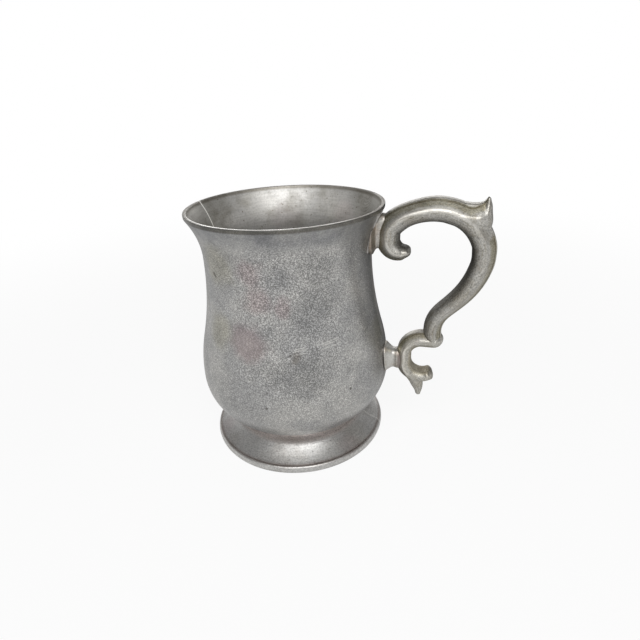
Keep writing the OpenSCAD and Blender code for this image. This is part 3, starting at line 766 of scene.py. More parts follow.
class Finish:
    """One material's node tree."""

    def __init__(self, name, tree=None):
        self.material = None
        if tree is None:
            self.material = bpy.data.materials.new(name)
            self.material.use_nodes = True
            tree = self.material.node_tree
        self.tree = tree
        self.tree.nodes.clear()
        self.tone = None

    def node(self, kind, settings=None, sockets=None, output=0):
        """Adds a node, with its settings made first and then its sockets set or linked."""
        made = self.tree.nodes.new(kind)
        for name, setting in (settings or {}).items():
            setattr(made, name, setting)
        for name, entry in (sockets or {}).items():
            if isinstance(entry, Value):
                self.tree.links.new(entry.socket, made.inputs[name])
            elif hasattr(entry, "__len__") and len(entry) == 3 and made.inputs[name].type == "RGBA":
                made.inputs[name].default_value = (*entry, 1)
            else:
                made.inputs[name].default_value = entry
        return Value(self, made.outputs[output]) if made.outputs else None

    def place(self):
        """Object coordinates, which stay with the piece."""
        return self.node("ShaderNodeTexCoord", output="Object")

    def axes(self, vector):
        """The three numbers of a vector."""
        parts = self.node("ShaderNodeSeparateXYZ", sockets={0: vector})
        return [Value(self, socket) for socket in parts.socket.node.outputs]

    def polar(self, place):
        """Distance from the upright axis, turn round it and height."""
        across, along, up = self.axes(place)
        return (across * across + along * along) ** 0.5, across.math("ARCTAN2", along, across), up

    def vector(self, first, second, third):
        """A vector of three numbers."""
        return self.node("ShaderNodeCombineXYZ", sockets={0: first, 1: second, 2: third})

    def warp(self, place, size, reach):
        """The place moved about by cloudy noise, so that edges laid by it are uneven."""
        drift = self.node("ShaderNodeTexNoise", sockets={"Vector": place, "Scale": 1 / size}, output="Color")
        drift = self.node("ShaderNodeVectorMath", {"operation": "SUBTRACT"}, {0: drift, 1: (0.5, 0.5, 0.5)})
        return self.node("ShaderNodeVectorMath", {"operation": "MULTIPLY_ADD"}, {
            0: drift, 1: (reach, reach, reach), 2: place})

    def apart(self, place, across, along, up):
        """Distance of the place from a point given in millimetres."""
        point = (across * MM, along * MM, up * MM)
        return self.node("ShaderNodeVectorMath", {"operation": "DISTANCE"}, {0: place, 1: point}, output=1)

    def spots(self, place, centres):
        """Soft patches round several places, each given in millimetres with its reach."""
        mask = 0
        for *centre, reach in centres:
            mask = mask + self.ease(self.apart(place, *centre), PATCH_CORE * reach * MM, reach * MM, 1, 0)
        return mask

    def noise(self, vector, size, detail=2, roughness=0.5, distortion=0):
        """Cloudy noise from 0 to 1 whose lumps are about one size across."""
        return self.node("ShaderNodeTexNoise", sockets={
            "Vector": vector, "Scale": 1 / size, "Detail": detail, "Roughness": roughness,
            "Distortion": distortion})

    def ease(self, value, start, end, low=0, high=1):
        """A smooth step from low to high as the value goes from start to end."""
        return self.node("ShaderNodeMapRange", {"interpolation_type": "SMOOTHSTEP"}, {
            "Value": value, "From Min": start, "From Max": end, "To Min": low, "To Max": high})

    def blend(self, factor, first, second, kind="MIX"):
        """Two colours mixed."""
        settings = {"data_type": "RGBA", "blend_type": kind, "clamp_factor": True}
        return self.node("ShaderNodeMix", settings, {0: factor, 6: first, 7: second}, output=2)

    def near(self, value, middle, full, none):
        """1 as long as the value is near the middle, and 0 from a larger distance on."""
        return self.ease(abs(value - middle), full, none, 1, 0)

    def start(self, factor, colour, low, high):
        """Starts the tone as a colour that goes from one strength to another with the factor."""
        self.tone = self.blend(factor, times(colour, low), times(colour, high))

    def tint(self, factor, colour):
        """Multiplies the tone by a colour, as far as the factor goes."""
        self.tone = self.blend(factor, self.tone, colour, "MULTIPLY")

    def cover(self, factor, colour):
        """Covers the tone with a colour, as far as the factor goes."""
        self.tone = self.blend(factor, self.tone, colour)

    def metal(self, metallic, roughness, relief, depth):
        """The metal's shader in the tone, where a relief of 1 stands out by the depth."""
        normal = self.node("ShaderNodeBump", sockets={"Height": relief, "Distance": depth, "Strength": 1})
        shader = self.node("ShaderNodeBsdfPrincipled", sockets={
            "Base Color": self.tone, "Metallic": metallic, "Roughness": roughness, "Normal": normal})
        self.node("ShaderNodeOutputMaterial", sockets={"Surface": shader})
        return self.material


def times(colour, amount):
    """A colour made darker or lighter."""
    return [amount * part for part in colour]


# Finishes of the metal

def lip_highlight(finish, place, radius, along, up):
    """A painted highlight on the lip: its strength, uneven and strongest at the front, and where it lies on
    the inner half of the top.
    """
    wear_and_front_sheen = finish.ease(finish.noise(place, 2.4 * MM, 2), 0.6, 0.7, 1, 0.3)
    wear_and_front_sheen = wear_and_front_sheen * finish.ease(along, -20 * MM, -40 * MM, 0.1, 1)
    rub = finish.ease(up, 119.9 * MM, 120.2 * MM) * finish.ease(radius, 45.1 * MM, 44.7 * MM) * wear_and_front_sheen
    return wear_and_front_sheen, rub


def stain_body(body, uneven, mauve, sizes):
    """Slate, pinkish and olive stains on the outside of the bowl; the slate clouds at the front are a painted
    dark reflection.
    """
    # Slate clouds: at the front of the bowl a painted dark reflection, at the back tarnish
    slate = body.spots(uneven, [
        (22, -40, 58, 12), (18, -43, 52, 11), (8, -45, 57, 9), (20, -36, 82, 14), (25, -31, 91, 13),
        (23, -32, 102, 10), (11, -38, 99, 9), (-30, 32, 80, 18), (20, 40, 55, 14)])
    body.tint(slate * 0.7, sizes.slate)
    blush = mauve * 1.6 + body.spots(uneven, [
        (-1, -40, 89, 9), (-3, -39.7, 101, 8), (10, -39, 86, 6), (-35, 22, 66, 9), (12, 42, 74, 9)])
    body.tint(blush * 0.9, sizes.blush)
    olive = body.spots(uneven, [
        (-22, -36, 71, 12), (-20, -35, 102, 14), (42, 4, 72, 10), (44, -4, 62, 9), (-40, 14, 95, 14)])
    body.tint(olive * 0.75, sizes.olive)


def body_scratches(body, place, turn, up):
    """Three broken scratches that run slightly uphill across the front of the bowl."""
    drawn = up - 4.4 * MM * turn - 72.2 * MM + (body.noise(place, 14 * MM, 1) - 0.5) * 1.5 * MM
    reach = body.ease(turn, -1.32, -1.2) * body.ease(turn, -0.62, -0.7)
    scratch = 0
    for offset in (0, 0.9, -1.5):
        scratch = scratch + body.near(drawn, offset * MM, 0.14 * MM, 0.36 * MM)
    return scratch * reach * body.ease(body.noise(place, 5 * MM, 2), 0.4, 0.55)


def cast_body(sizes):
    """Outside of the bowl: as-cast stipple, clouds of tarnish, stains with a painted dark reflection at the
    front, scratches, painted shade under the lip and on its outer edge, and painted highlights on the lip's
    top and up the edge by the handle.
    """
    body = Finish("cast_pewter")
    place = body.place()
    uneven = body.warp(place, 9 * MM, 9 * MM)
    _, along, _ = body.axes(place)
    radius, turn, up = body.polar(place)
    stipple = body.noise(place, sizes.grain, 1.5, 0.6, 0.6)
    clouds = body.noise(place, 20 * MM, 3, 0.6)
    patches = body.noise(uneven, 8 * MM, 3, 0.65)
    rough_cast = body.spots(uneven, [(12, -40, 92, 34), (13, -42, 66, 34), (-30, 30, 60, 44)])
    coarse = body.ease(rough_cast, 0, 0.9)
    smooth = body.ease(up, 106 * MM, 116 * MM, 1, 0.5)
    mauve = body.spots(uneven, [(-7, -42, 69, 11.5)])
    contrast = (0.72 + 0.28 * coarse) * smooth * (1 - 0.5 * mauve)
    lumps = 0.36 + (body.ease(stipple, 0.38, 0.76) - 0.36) * contrast
    body.start(lumps, sizes.pewter, 0.6, 1.84)
    mottle = body.blend(body.ease(clouds, 0.34, 0.66), (0.88, 0.885, 0.895), (1.09, 1.085, 1.07))
    body.tint(1, mottle)
    body.tint(body.ease(patches, 0.48, 0.7, 0, 0.75), (0.79, 0.795, 0.8))
    stain_body(body, uneven, mauve, sizes)
    # Painted shade: a darker band just under the lip, where the flare turns down
    painted_under_lip_shade = body.ease(up, 109 * MM, 115 * MM) * (0.45 + 0.55 * body.ease(patches, 0.3, 0.6))
    body.tint(painted_under_lip_shade, (0.74, 0.75, 0.77))
    grime = body.spots(uneven, [(41, 0, 108, 8), (48, 0, 44, 9), (14, -42, 64, 4)])
    # The bowl is also made darker towards its bottom, below 21 mm
    grime = grime + body.ease(up, 21 * MM, 15 * MM) * 0.7
    body.tint(grime * 0.55, sizes.grime)
    nicks = body.spots(place, [
        (-22.6, -32.8, 97.2, 1.3), (-21.7, -33.4, 96.3, 1.1), (1.6, -47.9, 40.6, 1), (36.1, -31.3, 44.7, 1),
        (12.6, -41.9, 65.1, 0.9), (-36, 20, 88, 1.2), (20, 43, 48, 1.1), (-44, -12, 52, 1)])
    pits = body.ease(body.noise(place, 1.7 * MM, 1), 0.735, 0.79) * smooth
    body.tint(nicks * 0.9 + pits * 0.5, (0.4, 0.39, 0.37))
    scratch = body_scratches(body, place, turn, up)
    seam = body.near(along, 0, 0.15 * MM, 0.5 * MM) * 0.5
    _, rub = lip_highlight(body, place, radius, along, up)
    body.cover(scratch * 0.55 + seam * body.ease(patches, 0.4, 0.6) * 0.6, sizes.rubbed)
    # Painted highlight: a light strip up the bowl's edge just ahead of the handle, in the rubbed colour
    strip = body.near(turn, 0.06, 0.05, 0.09) * body.ease(patches, 0.35, 0.6, 0.9, 0.4)
    strip = strip * body.ease(up, 50 * MM, 58 * MM) * body.ease(up, 108 * MM, 100 * MM)
    body.cover(strip, sizes.rubbed)
    # Painted shade on the lip's outer edge
    dull = body.ease(up, 118.4 * MM, 119.2 * MM)
    body.tint(dull, (0.4, 0.385, 0.35))
    # Painted highlight on the inner half of the lip's top, strongest at the front
    body.cover(rub, times(sizes.rubbed, 1.25))
    relief = stipple * (0.6 + 0.4 * coarse) * smooth - nicks * 1.5 - pits + seam * 0.8
    rough = body.ease(clouds, 0.3, 0.7, 0.42, 0.35) - rub * 0.16
    return body.metal(0.9 + 0.1 * rub, rough, relief, 0.07 * MM)


def turned_inside(sizes):
    """Inside of the bowl: turning marks, chatter, specks, stains, the bright line of the mould's joint,
    painted shade on the walls and round the back of the rim, and painted highlights on the far wall and the
    lip's top.
    """
    inside = Finish("turned_pewter")
    place = inside.place()
    uneven = inside.warp(place, 10 * MM, 8 * MM)
    across, along, _ = inside.axes(place)
    radius, turn, up = inside.polar(place)
    drift = turn * 2.5 * MM
    marks = inside.noise(inside.vector(up, radius, drift), 0.7 * MM, 2, 0.6)
    broad = inside.noise(inside.vector(up, radius, drift), 5 * MM, 2, 0.5)
    clouds = inside.noise(place, 13 * MM, 3, 0.65)
    grain = inside.noise(place, 0.9 * MM, 2, 0.6)
    inside.start(inside.ease(marks, 0.3, 0.7), sizes.inside, 0.93, 1.07)
    inside.tint(inside.ease(grain, 0.42, 0.7, 0, 0.55), (0.7, 0.7, 0.69))
    inside.tint(inside.ease(clouds, 0.44, 0.68), (0.76, 0.75, 0.72))
    inside.tint(inside.ease(broad, 0.5, 0.7, 0, 0.3), (0.84, 0.83, 0.8))
    # Painted shade: darker patches on the left and right walls and low on the far wall
    shade = inside.spots(uneven, [
        (-42, -8, 115, 20), (-40, 11, 117, 12), (38, 18, 113, 18), (30, 28, 118, 12), (-40, 8, 100, 12),
        (-8, 40, 101, 8)])
    inside.tint(shade * 0.8, (0.62, 0.61, 0.58))
    blush = inside.spots(uneven, [(-14, 37, 104, 12), (20, 34, 108, 10)])
    inside.tint(blush * 0.35, sizes.blush)
    # Painted highlight: lighter patches either side of the far wall's highlight
    painted_far_wall_highlight = inside.spots(uneven, [(-27, 31, 112, 13), (15, 39, 113, 13)])
    inside.tint(painted_far_wall_highlight * 0.7, (1.3, 1.29, 1.27))
    specks = inside.ease(inside.noise(place, 1.5 * MM, 1), 0.7, 0.76)
    inside.tint(specks * 0.8, sizes.grime)
    inside.tint(inside.ease(up, 30 * MM, 17 * MM, 0, 0.7), (0.6, 0.57, 0.5))
    swirl = inside.spots(place, [(36, 21, 115, 10)])
    phase = inside.apart(place, 34, 26, 119) * (math.tau / (1.5 * MM))
    chatter = phase.math("SINE", phase, 0) * swirl
    inside.tint(inside.ease(chatter, 0, 0.8, 0, 0.6), (0.6, 0.6, 0.58))
    line = inside.near(along, 1.7 * MM, 0.22 * MM, 0.5 * MM) * inside.ease(across, 0, -5 * MM)
    line = line * inside.ease(up, 85 * MM, 108 * MM)
    wear_and_front_sheen, rub = lip_highlight(inside, place, radius, along, up)
    # Painted shade round the rim away from the front
    dull = inside.ease(up, 118.4 * MM, 119.6 * MM) * (1 - wear_and_front_sheen)
    inside.tint(dull, (0.47, 0.445, 0.4))
    inside.cover(line, times(sizes.rubbed, 1.45))
    # Painted highlight on the inner half of the lip's top, strongest at the front
    inside.cover(rub, times(sizes.rubbed, 1.25))
    relief = marks * 0.2 + grain * 0.7 - specks + chatter * 0.6 + line
    rough = inside.ease(clouds, 0.35, 0.65, 0.42, 0.52) - rub * 0.2
    return inside.metal(0.72 + 0.28 * rub, rough, relief, 0.035 * MM)


def turned_foot(sizes):
    """The foot: fine turning marks, pits, a dusty cove brightened with painted light, a groove darkened as
    dirt and painted shade, and a bead rubbed bright.
    """
    foot = Finish("foot_pewter")
    place = foot.place()
    uneven = foot.warp(place, 6 * MM, 4 * MM)
    across, along, _ = foot.axes(place)
    radius, turn, up = foot.polar(place)
    marks = foot.noise(foot.vector(up, radius, turn * 2 * MM), 0.6 * MM, 2, 0.6)
    grain = foot.noise(place, 0.7 * MM, 2, 0.6)
    clouds = foot.noise(place, 11 * MM, 3, 0.6)
    pits = foot.ease(foot.noise(place, 1 * MM, 2), 0.6, 0.7)
    foot.start(foot.ease(marks, 0.3, 0.7), sizes.pewter, 1.22, 1.42)
    foot.tint(foot.ease(grain, 0.38, 0.66, 0, 0.8), (0.66, 0.66, 0.66))
    foot.tint(foot.ease(clouds, 0.42, 0.7, 0, 0.8), (0.82, 0.8, 0.78))
    foot.tint(pits * foot.ease(clouds, 0.35, 0.6, 0.2, 0.8), (0.55, 0.53, 0.51))
    # Painted light: the cove under the bowl is tinted lighter; its lower metallic stands for dull oxide
    cove = foot.ease(up, 8.8 * MM, 10.8 * MM) * foot.ease(radius, 37 * MM, 33.6 * MM)
    foot.tint(cove, (1.22, 1.12, 1.1))
    # The groove is tinted darker: dirt and painted shade
    groove = foot.near(up, 4.1 * MM, 0.3 * MM, 0.7 * MM) * foot.ease(radius, 42.6 * MM, 43.2 * MM)
    foot.tint(groove * 0.55, (0.62, 0.54, 0.51))
    blush = foot.spots(uneven, [(-34, -24, 5, 9), (34, -24, 6, 8), (0, 44, 4, 12)])
    foot.tint(blush * 0.5, sizes.blush)
    bead = foot.near(up, 2.6 * MM, 0.6 * MM, 1.4 * MM) * foot.ease(radius, 44 * MM, 44.6 * MM)
    seam = foot.near(along, 0, 0.35 * MM, 0.75 * MM) * foot.ease(across, 0, 5 * MM)
    rub = (bead * 0.5 + seam) * foot.ease(grain, 0.35, 0.6, 1, 0.5)
    foot.cover(rub, sizes.rubbed)
    relief = marks * 0.12 + grain * 0.65 - pits + seam
    rough = foot.ease(clouds, 0.3, 0.7, 0.34, 0.42) - rub * 0.1
    return foot.metal(0.85 - 0.5 * cove, rough, relief, 0.04 * MM)


def cast_handle(sizes):
    """The scrolls: crests rubbed bright and lightened further with painted highlights, olive slopes of
    tarnish and painted shade, painted shade on the insides and along the spine's edges, a lower scroll
    painted lighter, and dirt where the castings meet.
    """
    handle = Finish("handle_pewter")
    place = handle.place()
    uneven = handle.warp(place, 5 * MM, 3 * MM)
    _, side, up = handle.axes(place)
    deep = handle.node("ShaderNodeAttribute", {"attribute_name": "deep"}, output="Fac")
    distance = handle.node("ShaderNodeAttribute", {"attribute_name": "distance"}, output="Fac")
    drawn = handle.vector(distance * 0.14, deep * 5 * MM, side)
    clouds = handle.noise(place, 7 * MM, 3, 0.6)
    grain = handle.noise(place, 0.55 * MM, 2, 0.6)
    streaks = handle.noise(drawn, 0.9 * MM, 3, 0.65)
    blots = handle.noise(place, 2.2 * MM, 3, 0.65)
    pits = handle.ease(handle.noise(place, 1 * MM, 1), 0.68, 0.76)
    wander = deep + (blots - 0.5) * 0.25
    handle.start(handle.ease(grain, 0.3, 0.7), sizes.handle, 0.66, 1.3)
    handle.tint(handle.ease(clouds, 0.4, 0.68), (0.84, 0.815, 0.77))
    handle.tint(handle.ease(streaks, 0.5, 0.68, 0, 0.8), (0.7, 0.67, 0.6))
    # The slopes beside the spine are tinted darker olive: tarnish and painted shade
    slope = handle.ease(wander, 0.34, 0.58) * handle.ease(wander, 1, 0.88)
    handle.tint(slope, times(sizes.olive, 0.94))
    # Painted shade: the main scroll's inner side is darkened, most of all on the descending part
    inner = handle.ease(wander, -0.5, -0.92)
    main = handle.ease(up, 53 * MM, 60 * MM)
    dark = inner * main * handle.ease(up, 62 * MM, 95 * MM, 0.5, 1)
    dark = dark * handle.ease(up, 100 * MM, 112 * MM, 1, 0.55)
    handle.tint(dark, (0.2, 0.195, 0.18))
    handle.tint(inner * (1 - main), (0.88, 0.84, 0.74))
    # Painted shade: a dark line along the edge of the spine
    edge = handle.near(deep, 0.82, 0.03, 0.1)
    handle.tint(edge * (0.3 + 0.45 * main), (0.5, 0.47, 0.4))
    dirt = handle.spots(uneven, [
        (46, 0, 113, 5), (57, 0, 106, 6), (66, 0, 58, 6), (66, 0, 36, 5), (70, 0, 37, 5), (86, 0, 119, 5)])
    handle.tint(dirt * 0.5, sizes.grime)
    handle.tint(handle.ease(blots, 0.58, 0.72, 0, 0.5), (0.64, 0.58, 0.54))
    handle.tint(pits * 0.7, (0.36, 0.34, 0.31))
    # Painted highlights: crests lightened most on the arch, the hook, the descent and the lower scroll, on
    # top of rubbed wear; the spine is lightened as wear and painted highlight
    bright = 0.1 + handle.spots(place, [(66, 0, 120, 28), (51, 0, 100, 14)]) * 0.7
    crest = handle.near(wander, 0.14, 0.08, 0.36) * bright
    below = (1 - main) * handle.ease(up, 36 * MM, 40 * MM)
    crest = crest + handle.near(wander, 0.05, 0.2, 0.6) * below * 0.55
    back = handle.spots(place, [(80, 0, 82, 24)])
    crest = crest + handle.near(wander, 0.5, 0.1, 0.3) * back * 0.35
    spine = handle.ease(deep, 0.9, 0.96) * 0.5
    rub = (crest + spine) * handle.ease(streaks, 0.62, 0.4, 0.4, 1)
    handle.cover(rub, (0.75, 0.725, 0.67))
    # Painted light: the lower scroll is made lighter all over
    handle.tint(1 - main, (1.14, 1.14, 1.12))
    relief = grain * 0.7 + streaks * 0.4 + blots * 0.4 - pits
    rough = handle.ease(clouds, 0.3, 0.7, 0.46, 0.39) + rub * 0.04 + inner * 0.1
    return handle.metal(0.92 - 0.2 * inner, rough, relief, 0.03 * MM)


def soldered_strut(sizes):
    """The struts: smooth castings with tarnish towards the bowl and a painted highlight band across the lower
    strut.
    """
    strut = Finish("strut_pewter")
    place = strut.place()
    radius, _, up = strut.polar(place)
    clouds = strut.noise(place, 4 * MM, 3, 0.65)
    grain = strut.noise(place, 0.6 * MM, 2, 0.6)
    strut.start(strut.ease(grain, 0.3, 0.7), sizes.handle, 0.95, 1.4)
    strut.tint(strut.ease(clouds, 0.42, 0.66, 0, 0.8), (0.84, 0.76, 0.7))
    low = strut.ease(up, 80 * MM, 60 * MM)
    tarnish = strut.ease(radius, 43.6 * MM, 42.4 * MM, 0.25, 1) * (1 - low)
    strut.tint(tarnish * 0.8, (0.62, 0.54, 0.48))
    joint = strut.ease(radius, 53.4 * MM, 54.6 * MM) * low
    strut.tint(joint * 0.7, (0.42, 0.36, 0.38))
    # Painted highlight: a light band across the lower strut near its scroll
    rub = strut.near(radius, 50.6 * MM, 0.6 * MM, 2.4 * MM) * low * 0.45
    strut.cover(rub, sizes.rubbed)
    rough = strut.ease(clouds, 0.3, 0.7, 0.34, 0.44)
    return strut.metal(0.85, rough, grain + clouds, 0.03 * MM)


def soft_solder(name, colour, sizes):
    """Soft solder or a plain casting: lumpy, dull and a little dirty."""
    solder = Finish(name)
    place = solder.place()
    lumps = solder.noise(place, 1.6 * MM, 3, 0.6)
    grain = solder.noise(place, 0.5 * MM, 2, 0.6)
    clouds = solder.noise(place, 6 * MM, 3, 0.6)
    solder.start(solder.ease(grain, 0.3, 0.7), colour, 0.86, 1.14)
    solder.tint(solder.ease(lumps, 0.5, 0.7, 0, 0.7), (0.7, 0.64, 0.58))
    solder.tint(solder.ease(clouds, 0.45, 0.7, 0, 0.7), sizes.blush)
    rough = solder.ease(lumps, 0.3, 0.7, 0.36, 0.5)
    return solder.metal(0.85, rough, lumps + grain * 0.4, 0.06 * MM)


# What the finishes need from the meshes

def mark_inside(piece, least):
    """Gives the second finish to the faces that look at the axis, or up from the bottom, above a height."""
    count = len(piece.data.polygons)
    centres = np.empty(3 * count)
    normals = np.empty(3 * count)
    piece.data.polygons.foreach_get("center", centres)
    piece.data.polygons.foreach_get("normal", normals)
    centres = centres.reshape(-1, 3)
    normals = normals.reshape(-1, 3)
    inward = (centres[:, :2] * normals[:, :2]).sum(axis=1) < 0
    within = (inward | (normals[:, 2] > 0.9)) & (centres[:, 2] > least)
    piece.data.polygons.foreach_set("material_index", within.astype(np.int32))


def on_scroll(piece, path, depths, spine, lead=0):
    """Each point's depth in a scroll, from -1 inside to 1 at the spine, with its mark and its distance."""
    points, marks, travel = path
    fine = np.linspace(0, travel[-1], FINE_STEPS)
    line = np.column_stack([np.interp(fine, travel, column) for column in points.T])
    left = spine * np.column_stack([np.interp(fine, travel, column) for column in left_of(points).T])
    marks = np.interp(fine, travel, marks)
    half = follow(marks, depths) / 2
    tree = KDTree(len(line))
    for index, (out, up) in enumerate(line):
        tree.insert((out, 0, up), index)
    tree.balance()
    places = np.array([vertex.co for vertex in piece.data.vertices])[:, [0, 2]]
    nearest = np.array([tree.find((out, 0, up))[1] for out, up in places])
    deep = ((places - line[nearest]) * left[nearest]).sum(axis=1) / half[nearest]
    return deep + lead, marks[nearest], fine[nearest]


def ramp(values, start, end):
    """Values taken from 0 at the start to 1 at the end."""
    return np.clip((values - start) / (end - start), 0, 1)


def keep(piece, name, values):
    """Keeps a value for each point with the piece, evened out between neighbours, for its finish."""
    ends = np.empty(2 * len(piece.data.edges), dtype=np.int32)
    piece.data.edges.foreach_get("vertices", ends)
    first = ends[0::2]
    second = ends[1::2]
    count = np.bincount(ends, minlength=len(values))
    for _ in range(EVEN_ROUNDS):
        total = np.bincount(first, values[second], len(values))
        total += np.bincount(second, values[first], len(values))
        values = 0.5 * values + 0.5 * total / count
    attribute = piece.data.attributes.new(name, "FLOAT", "POINT")
    attribute.data.foreach_set("value", values.astype(np.float32))


# Bowl and foot

class BuildBowl(bpy.types.Operator):
    """Turns the bowl with its rounded lip, inside face and underside."""
    bl_idname = "tankard.build_bowl"
    bl_label = "Bowl"

    def execute(self, context):
        finish = context.scene.tankard_finish
        curves = BowlCurves()
        piece = spun("turned_bowl", curves.profile())
        bpy.ops.object.shade_smooth_by_angle(angle=BOWL_SHARP)
        settle(piece, ["bowl"], [cast_body(finish), turned_inside(finish)])
        mark_inside(piece, curves.bottom + curves.sizes.flange)
        return {"FINISHED"}


def foot_profile(sizes):
    """Closed half section of the foot: neck, cove, rounded ledge, slope, groove, bead and hollow."""
    bead_in = sizes.radius - sizes.bead_bulge
    rest_in = bead_in - sizes.rest_width
    top = np.array((sizes.ledge_radius, sizes.ledge_height - sizes.ledge_edge))
    end = np.array((bead_in - sizes.groove_depth / 2, sizes.bead_height + sizes.groove_height))
    along = (end - top) / np.linalg.norm(end - top)
    inward = np.array((along[1], -along[0]))
    middle = (top + end) / 2 + 2 * sizes.slope_sag * inward
    hollow_top = top + (sizes.wall + sizes.slope_sag) * inward
    hollow_end = hollow_top + (rest_in - hollow_top[0]) / along[0] * along
    neck_in = sizes.neck_radius - sizes.wall
    neck_end = sizes.height - sizes.neck_drop
    turns = np.linspace(0, QUARTER_TURN, ARC_STEPS + 1)
    cove = np.column_stack((
        sizes.ledge_radius - (sizes.ledge_radius - sizes.neck_radius) * np.cos(turns),
        neck_end - (neck_end - sizes.ledge_height) * np.sin(turns)))
    cove = cove[:COVE_KEPT]
    turns = np.linspace(QUARTER_TURN, -QUARTER_TURN, ARC_STEPS + 1)
    bead = np.column_stack((
        bead_in + sizes.bead_bulge * np.cos(turns), sizes.bead_height / 2 * (1 + np.sin(turns))))
    slope = bezier(top, (top + 2 * middle) / 3, (end + 2 * middle) / 3, end)
    slope = slope[SLOPE_SKIPPED:]
    corner = np.array((sizes.ledge_radius, sizes.ledge_height))
    edge = bezier(cove[-1], (cove[-1] + 2 * corner) / 3, (slope[0] + 2 * top) / 3, slope[0])
    return chain([
        [(neck_in, sizes.height), (sizes.neck_radius, sizes.height)],
        cove, edge, slope, [(bead_in - sizes.groove_depth, sizes.bead_height)], bead,
        [(rest_in, 0), hollow_end, hollow_top, (neck_in, hollow_top[1]), (neck_in, sizes.height)]])


class BuildFoot(bpy.types.Operator):
    """Turns the foot with its cove, ledge, slope, groove and bead."""
    bl_idname = "tankard.build_foot"
    bl_label = "Foot"

    def execute(self, context):
        piece = spun("turned_foot", foot_profile(context.scene.tankard_foot))
        bpy.ops.object.shade_smooth_by_angle(angle=FOOT_SHARP)
        settle(piece, ["foot"], [turned_foot(context.scene.tankard_finish)])
        return {"FINISHED"}


# Handle and joints

def main_depths():
    """Thickness of the main scroll at marks along its path."""
    sizes = bpy.context.scene.tankard_scroll
    return [
        (-0.4, sizes.nose_depth), (0, sizes.curl_depth), (0.5, sizes.turn_depth), (1, sizes.hook_depth),
        (2, sizes.rise_depth), (2.4, sizes.saddle_depth), (2.9, sizes.crown_depth), (3.6, sizes.back_depth),
        (4.2, sizes.shoulder_depth), (4.7, sizes.descent_depth), (5, sizes.bend_depth),
        (5.5, sizes.end_depth)]


def main_scroll(name):
    """The main scroll without its spur."""
    sizes = bpy.context.scene.tankard_scroll
    widths = [(-0.4, sizes.nose_width), (0.3, sizes.width), (4, sizes.width), (5.5, sizes.end_width)]
    noses = (sizes.curl_nose, sizes.end_nose)
    return sweep(name, HandleCurves().main(), main_depths(), widths, noses, sizes, 1)


def lower_depths():
    """Thickness of the lower scroll at marks along its path."""
    sizes = bpy.context.scene.tankard_lower
    return [(0, sizes.lap_depth), (1, sizes.depth), (1.7, sizes.depth), (2.2, sizes.end_depth)]


def lower_c_scroll(name):
    """The lower scroll without its tail."""
    sizes = bpy.context.scene.tankard_lower
    widths = [(0, sizes.lap_width), (1, sizes.width), (2.2, sizes.width)]
    noses = (sizes.lap_nose, sizes.nose)
    return sweep(name, HandleCurves().lower_c(), lower_depths(), widths, noses, sizes, -1)


def main_with_spur():
    """The main scroll and its thumb spur in one skin, with the depths that its finish needs."""
    sizes = bpy.context.scene.tankard_scroll
    curves = HandleCurves()
    piece = main_scroll("main_scroll")
    depths = [
        (0, sizes.crown_depth - 2 * sizes.inset), (0.72, sizes.spur_depth), (0.86, sizes.spur_neck_depth),
        (1, sizes.spur_tip_depth)]
    widths = [
        (0, sizes.width - 2 * sizes.inset), (0.4, sizes.width + sizes.inset), (0.6, sizes.width),
        (0.86, sizes.spur_neck_width), (1, sizes.spur_tip_width)]
    spur = sweep("spur", curves.spur(), depths, widths, (0, sizes.spur_tip_depth / 2), sizes, 1, lead=1)
    join(piece, spur)
    cast(piece, SCROLL_SKIN, SCROLL_SOFTEN)
    deep, _, distance = on_scroll(piece, curves.main(), main_depths(), 1)
    spur_deep, spur_mark, _ = on_scroll(piece, curves.spur(), depths, 1, 1)
    on_spur = ramp(spur_mark, 0.3, 0.6) * ramp(spur_deep, -1.8, -1.3) * ramp(deep, 0.3, 0.7)
    deep = deep * (1 - on_spur) + (1.1 * np.clip(spur_deep, 0, 1) - 0.1) * on_spur
    keep(piece, "deep", np.clip(deep, -DEEPEST, DEEPEST))
    keep(piece, "distance", distance)
    return piece


def lower_with_tail():
    """The lower scroll and its leaf tail in one skin, with the depths that its finish needs."""
    sizes = bpy.context.scene.tankard_lower
    curves = HandleCurves()
    piece = lower_c_scroll("lower_c_scroll")
    depths = [(0, sizes.depth - 2 * sizes.inset), (0.6, sizes.tail_depth), (1, sizes.tail_tip_depth)]
    widths = [(0, sizes.width - 2 * sizes.inset), (1, sizes.tail_tip_width)]
    tail = sweep("tail", curves.tail(), depths, widths, (0, sizes.tail_tip_depth / 2), sizes, -1)
    join(piece, tail)
    cast(piece, LOWER_SKIN, SCROLL_SOFTEN)
    deep, _, distance = on_scroll(piece, curves.lower_c(), lower_depths(), -1)
    tail_deep, tail_mark, _ = on_scroll(piece, curves.tail(), depths, -1)
    on_tail = ramp(tail_mark, 0.2, 0.4) * ramp(abs(tail_deep), 1.4, 1.1)
    deep = np.clip(deep, -DEEPEST, DEEPEST) * (1 - on_tail) + 0.5 * tail_deep * on_tail
    keep(piece, "deep", deep)
    keep(piece, "distance", distance)
    return piece


class BuildScrolls(bpy.types.Operator):
    """Sweeps the main scroll with its thumb spur, and the lower scroll with its leaf tail."""
    bl_idname = "tankard.build_scrolls"
    bl_label = "Handle scrolls"

    def execute(self, context):
        metal = cast_handle(context.scene.tankard_finish)
        settle(main_with_spur(), ["handle_scroll"], [metal])
        settle(lower_with_tail(), ["lower_scroll"], [metal])
        return {"FINISHED"}


def bowl_tool(name, gap):
    """The bowl's outside as a solid, grown by a gap, for cutting."""
    curves = BowlCurves()
    outer = curves.outer(gap)
    high = curves.sizes.height
    return spun(name, chain([[(0, outer[0][1])], outer, [(outer[-1][0], high), (0, high)]]))


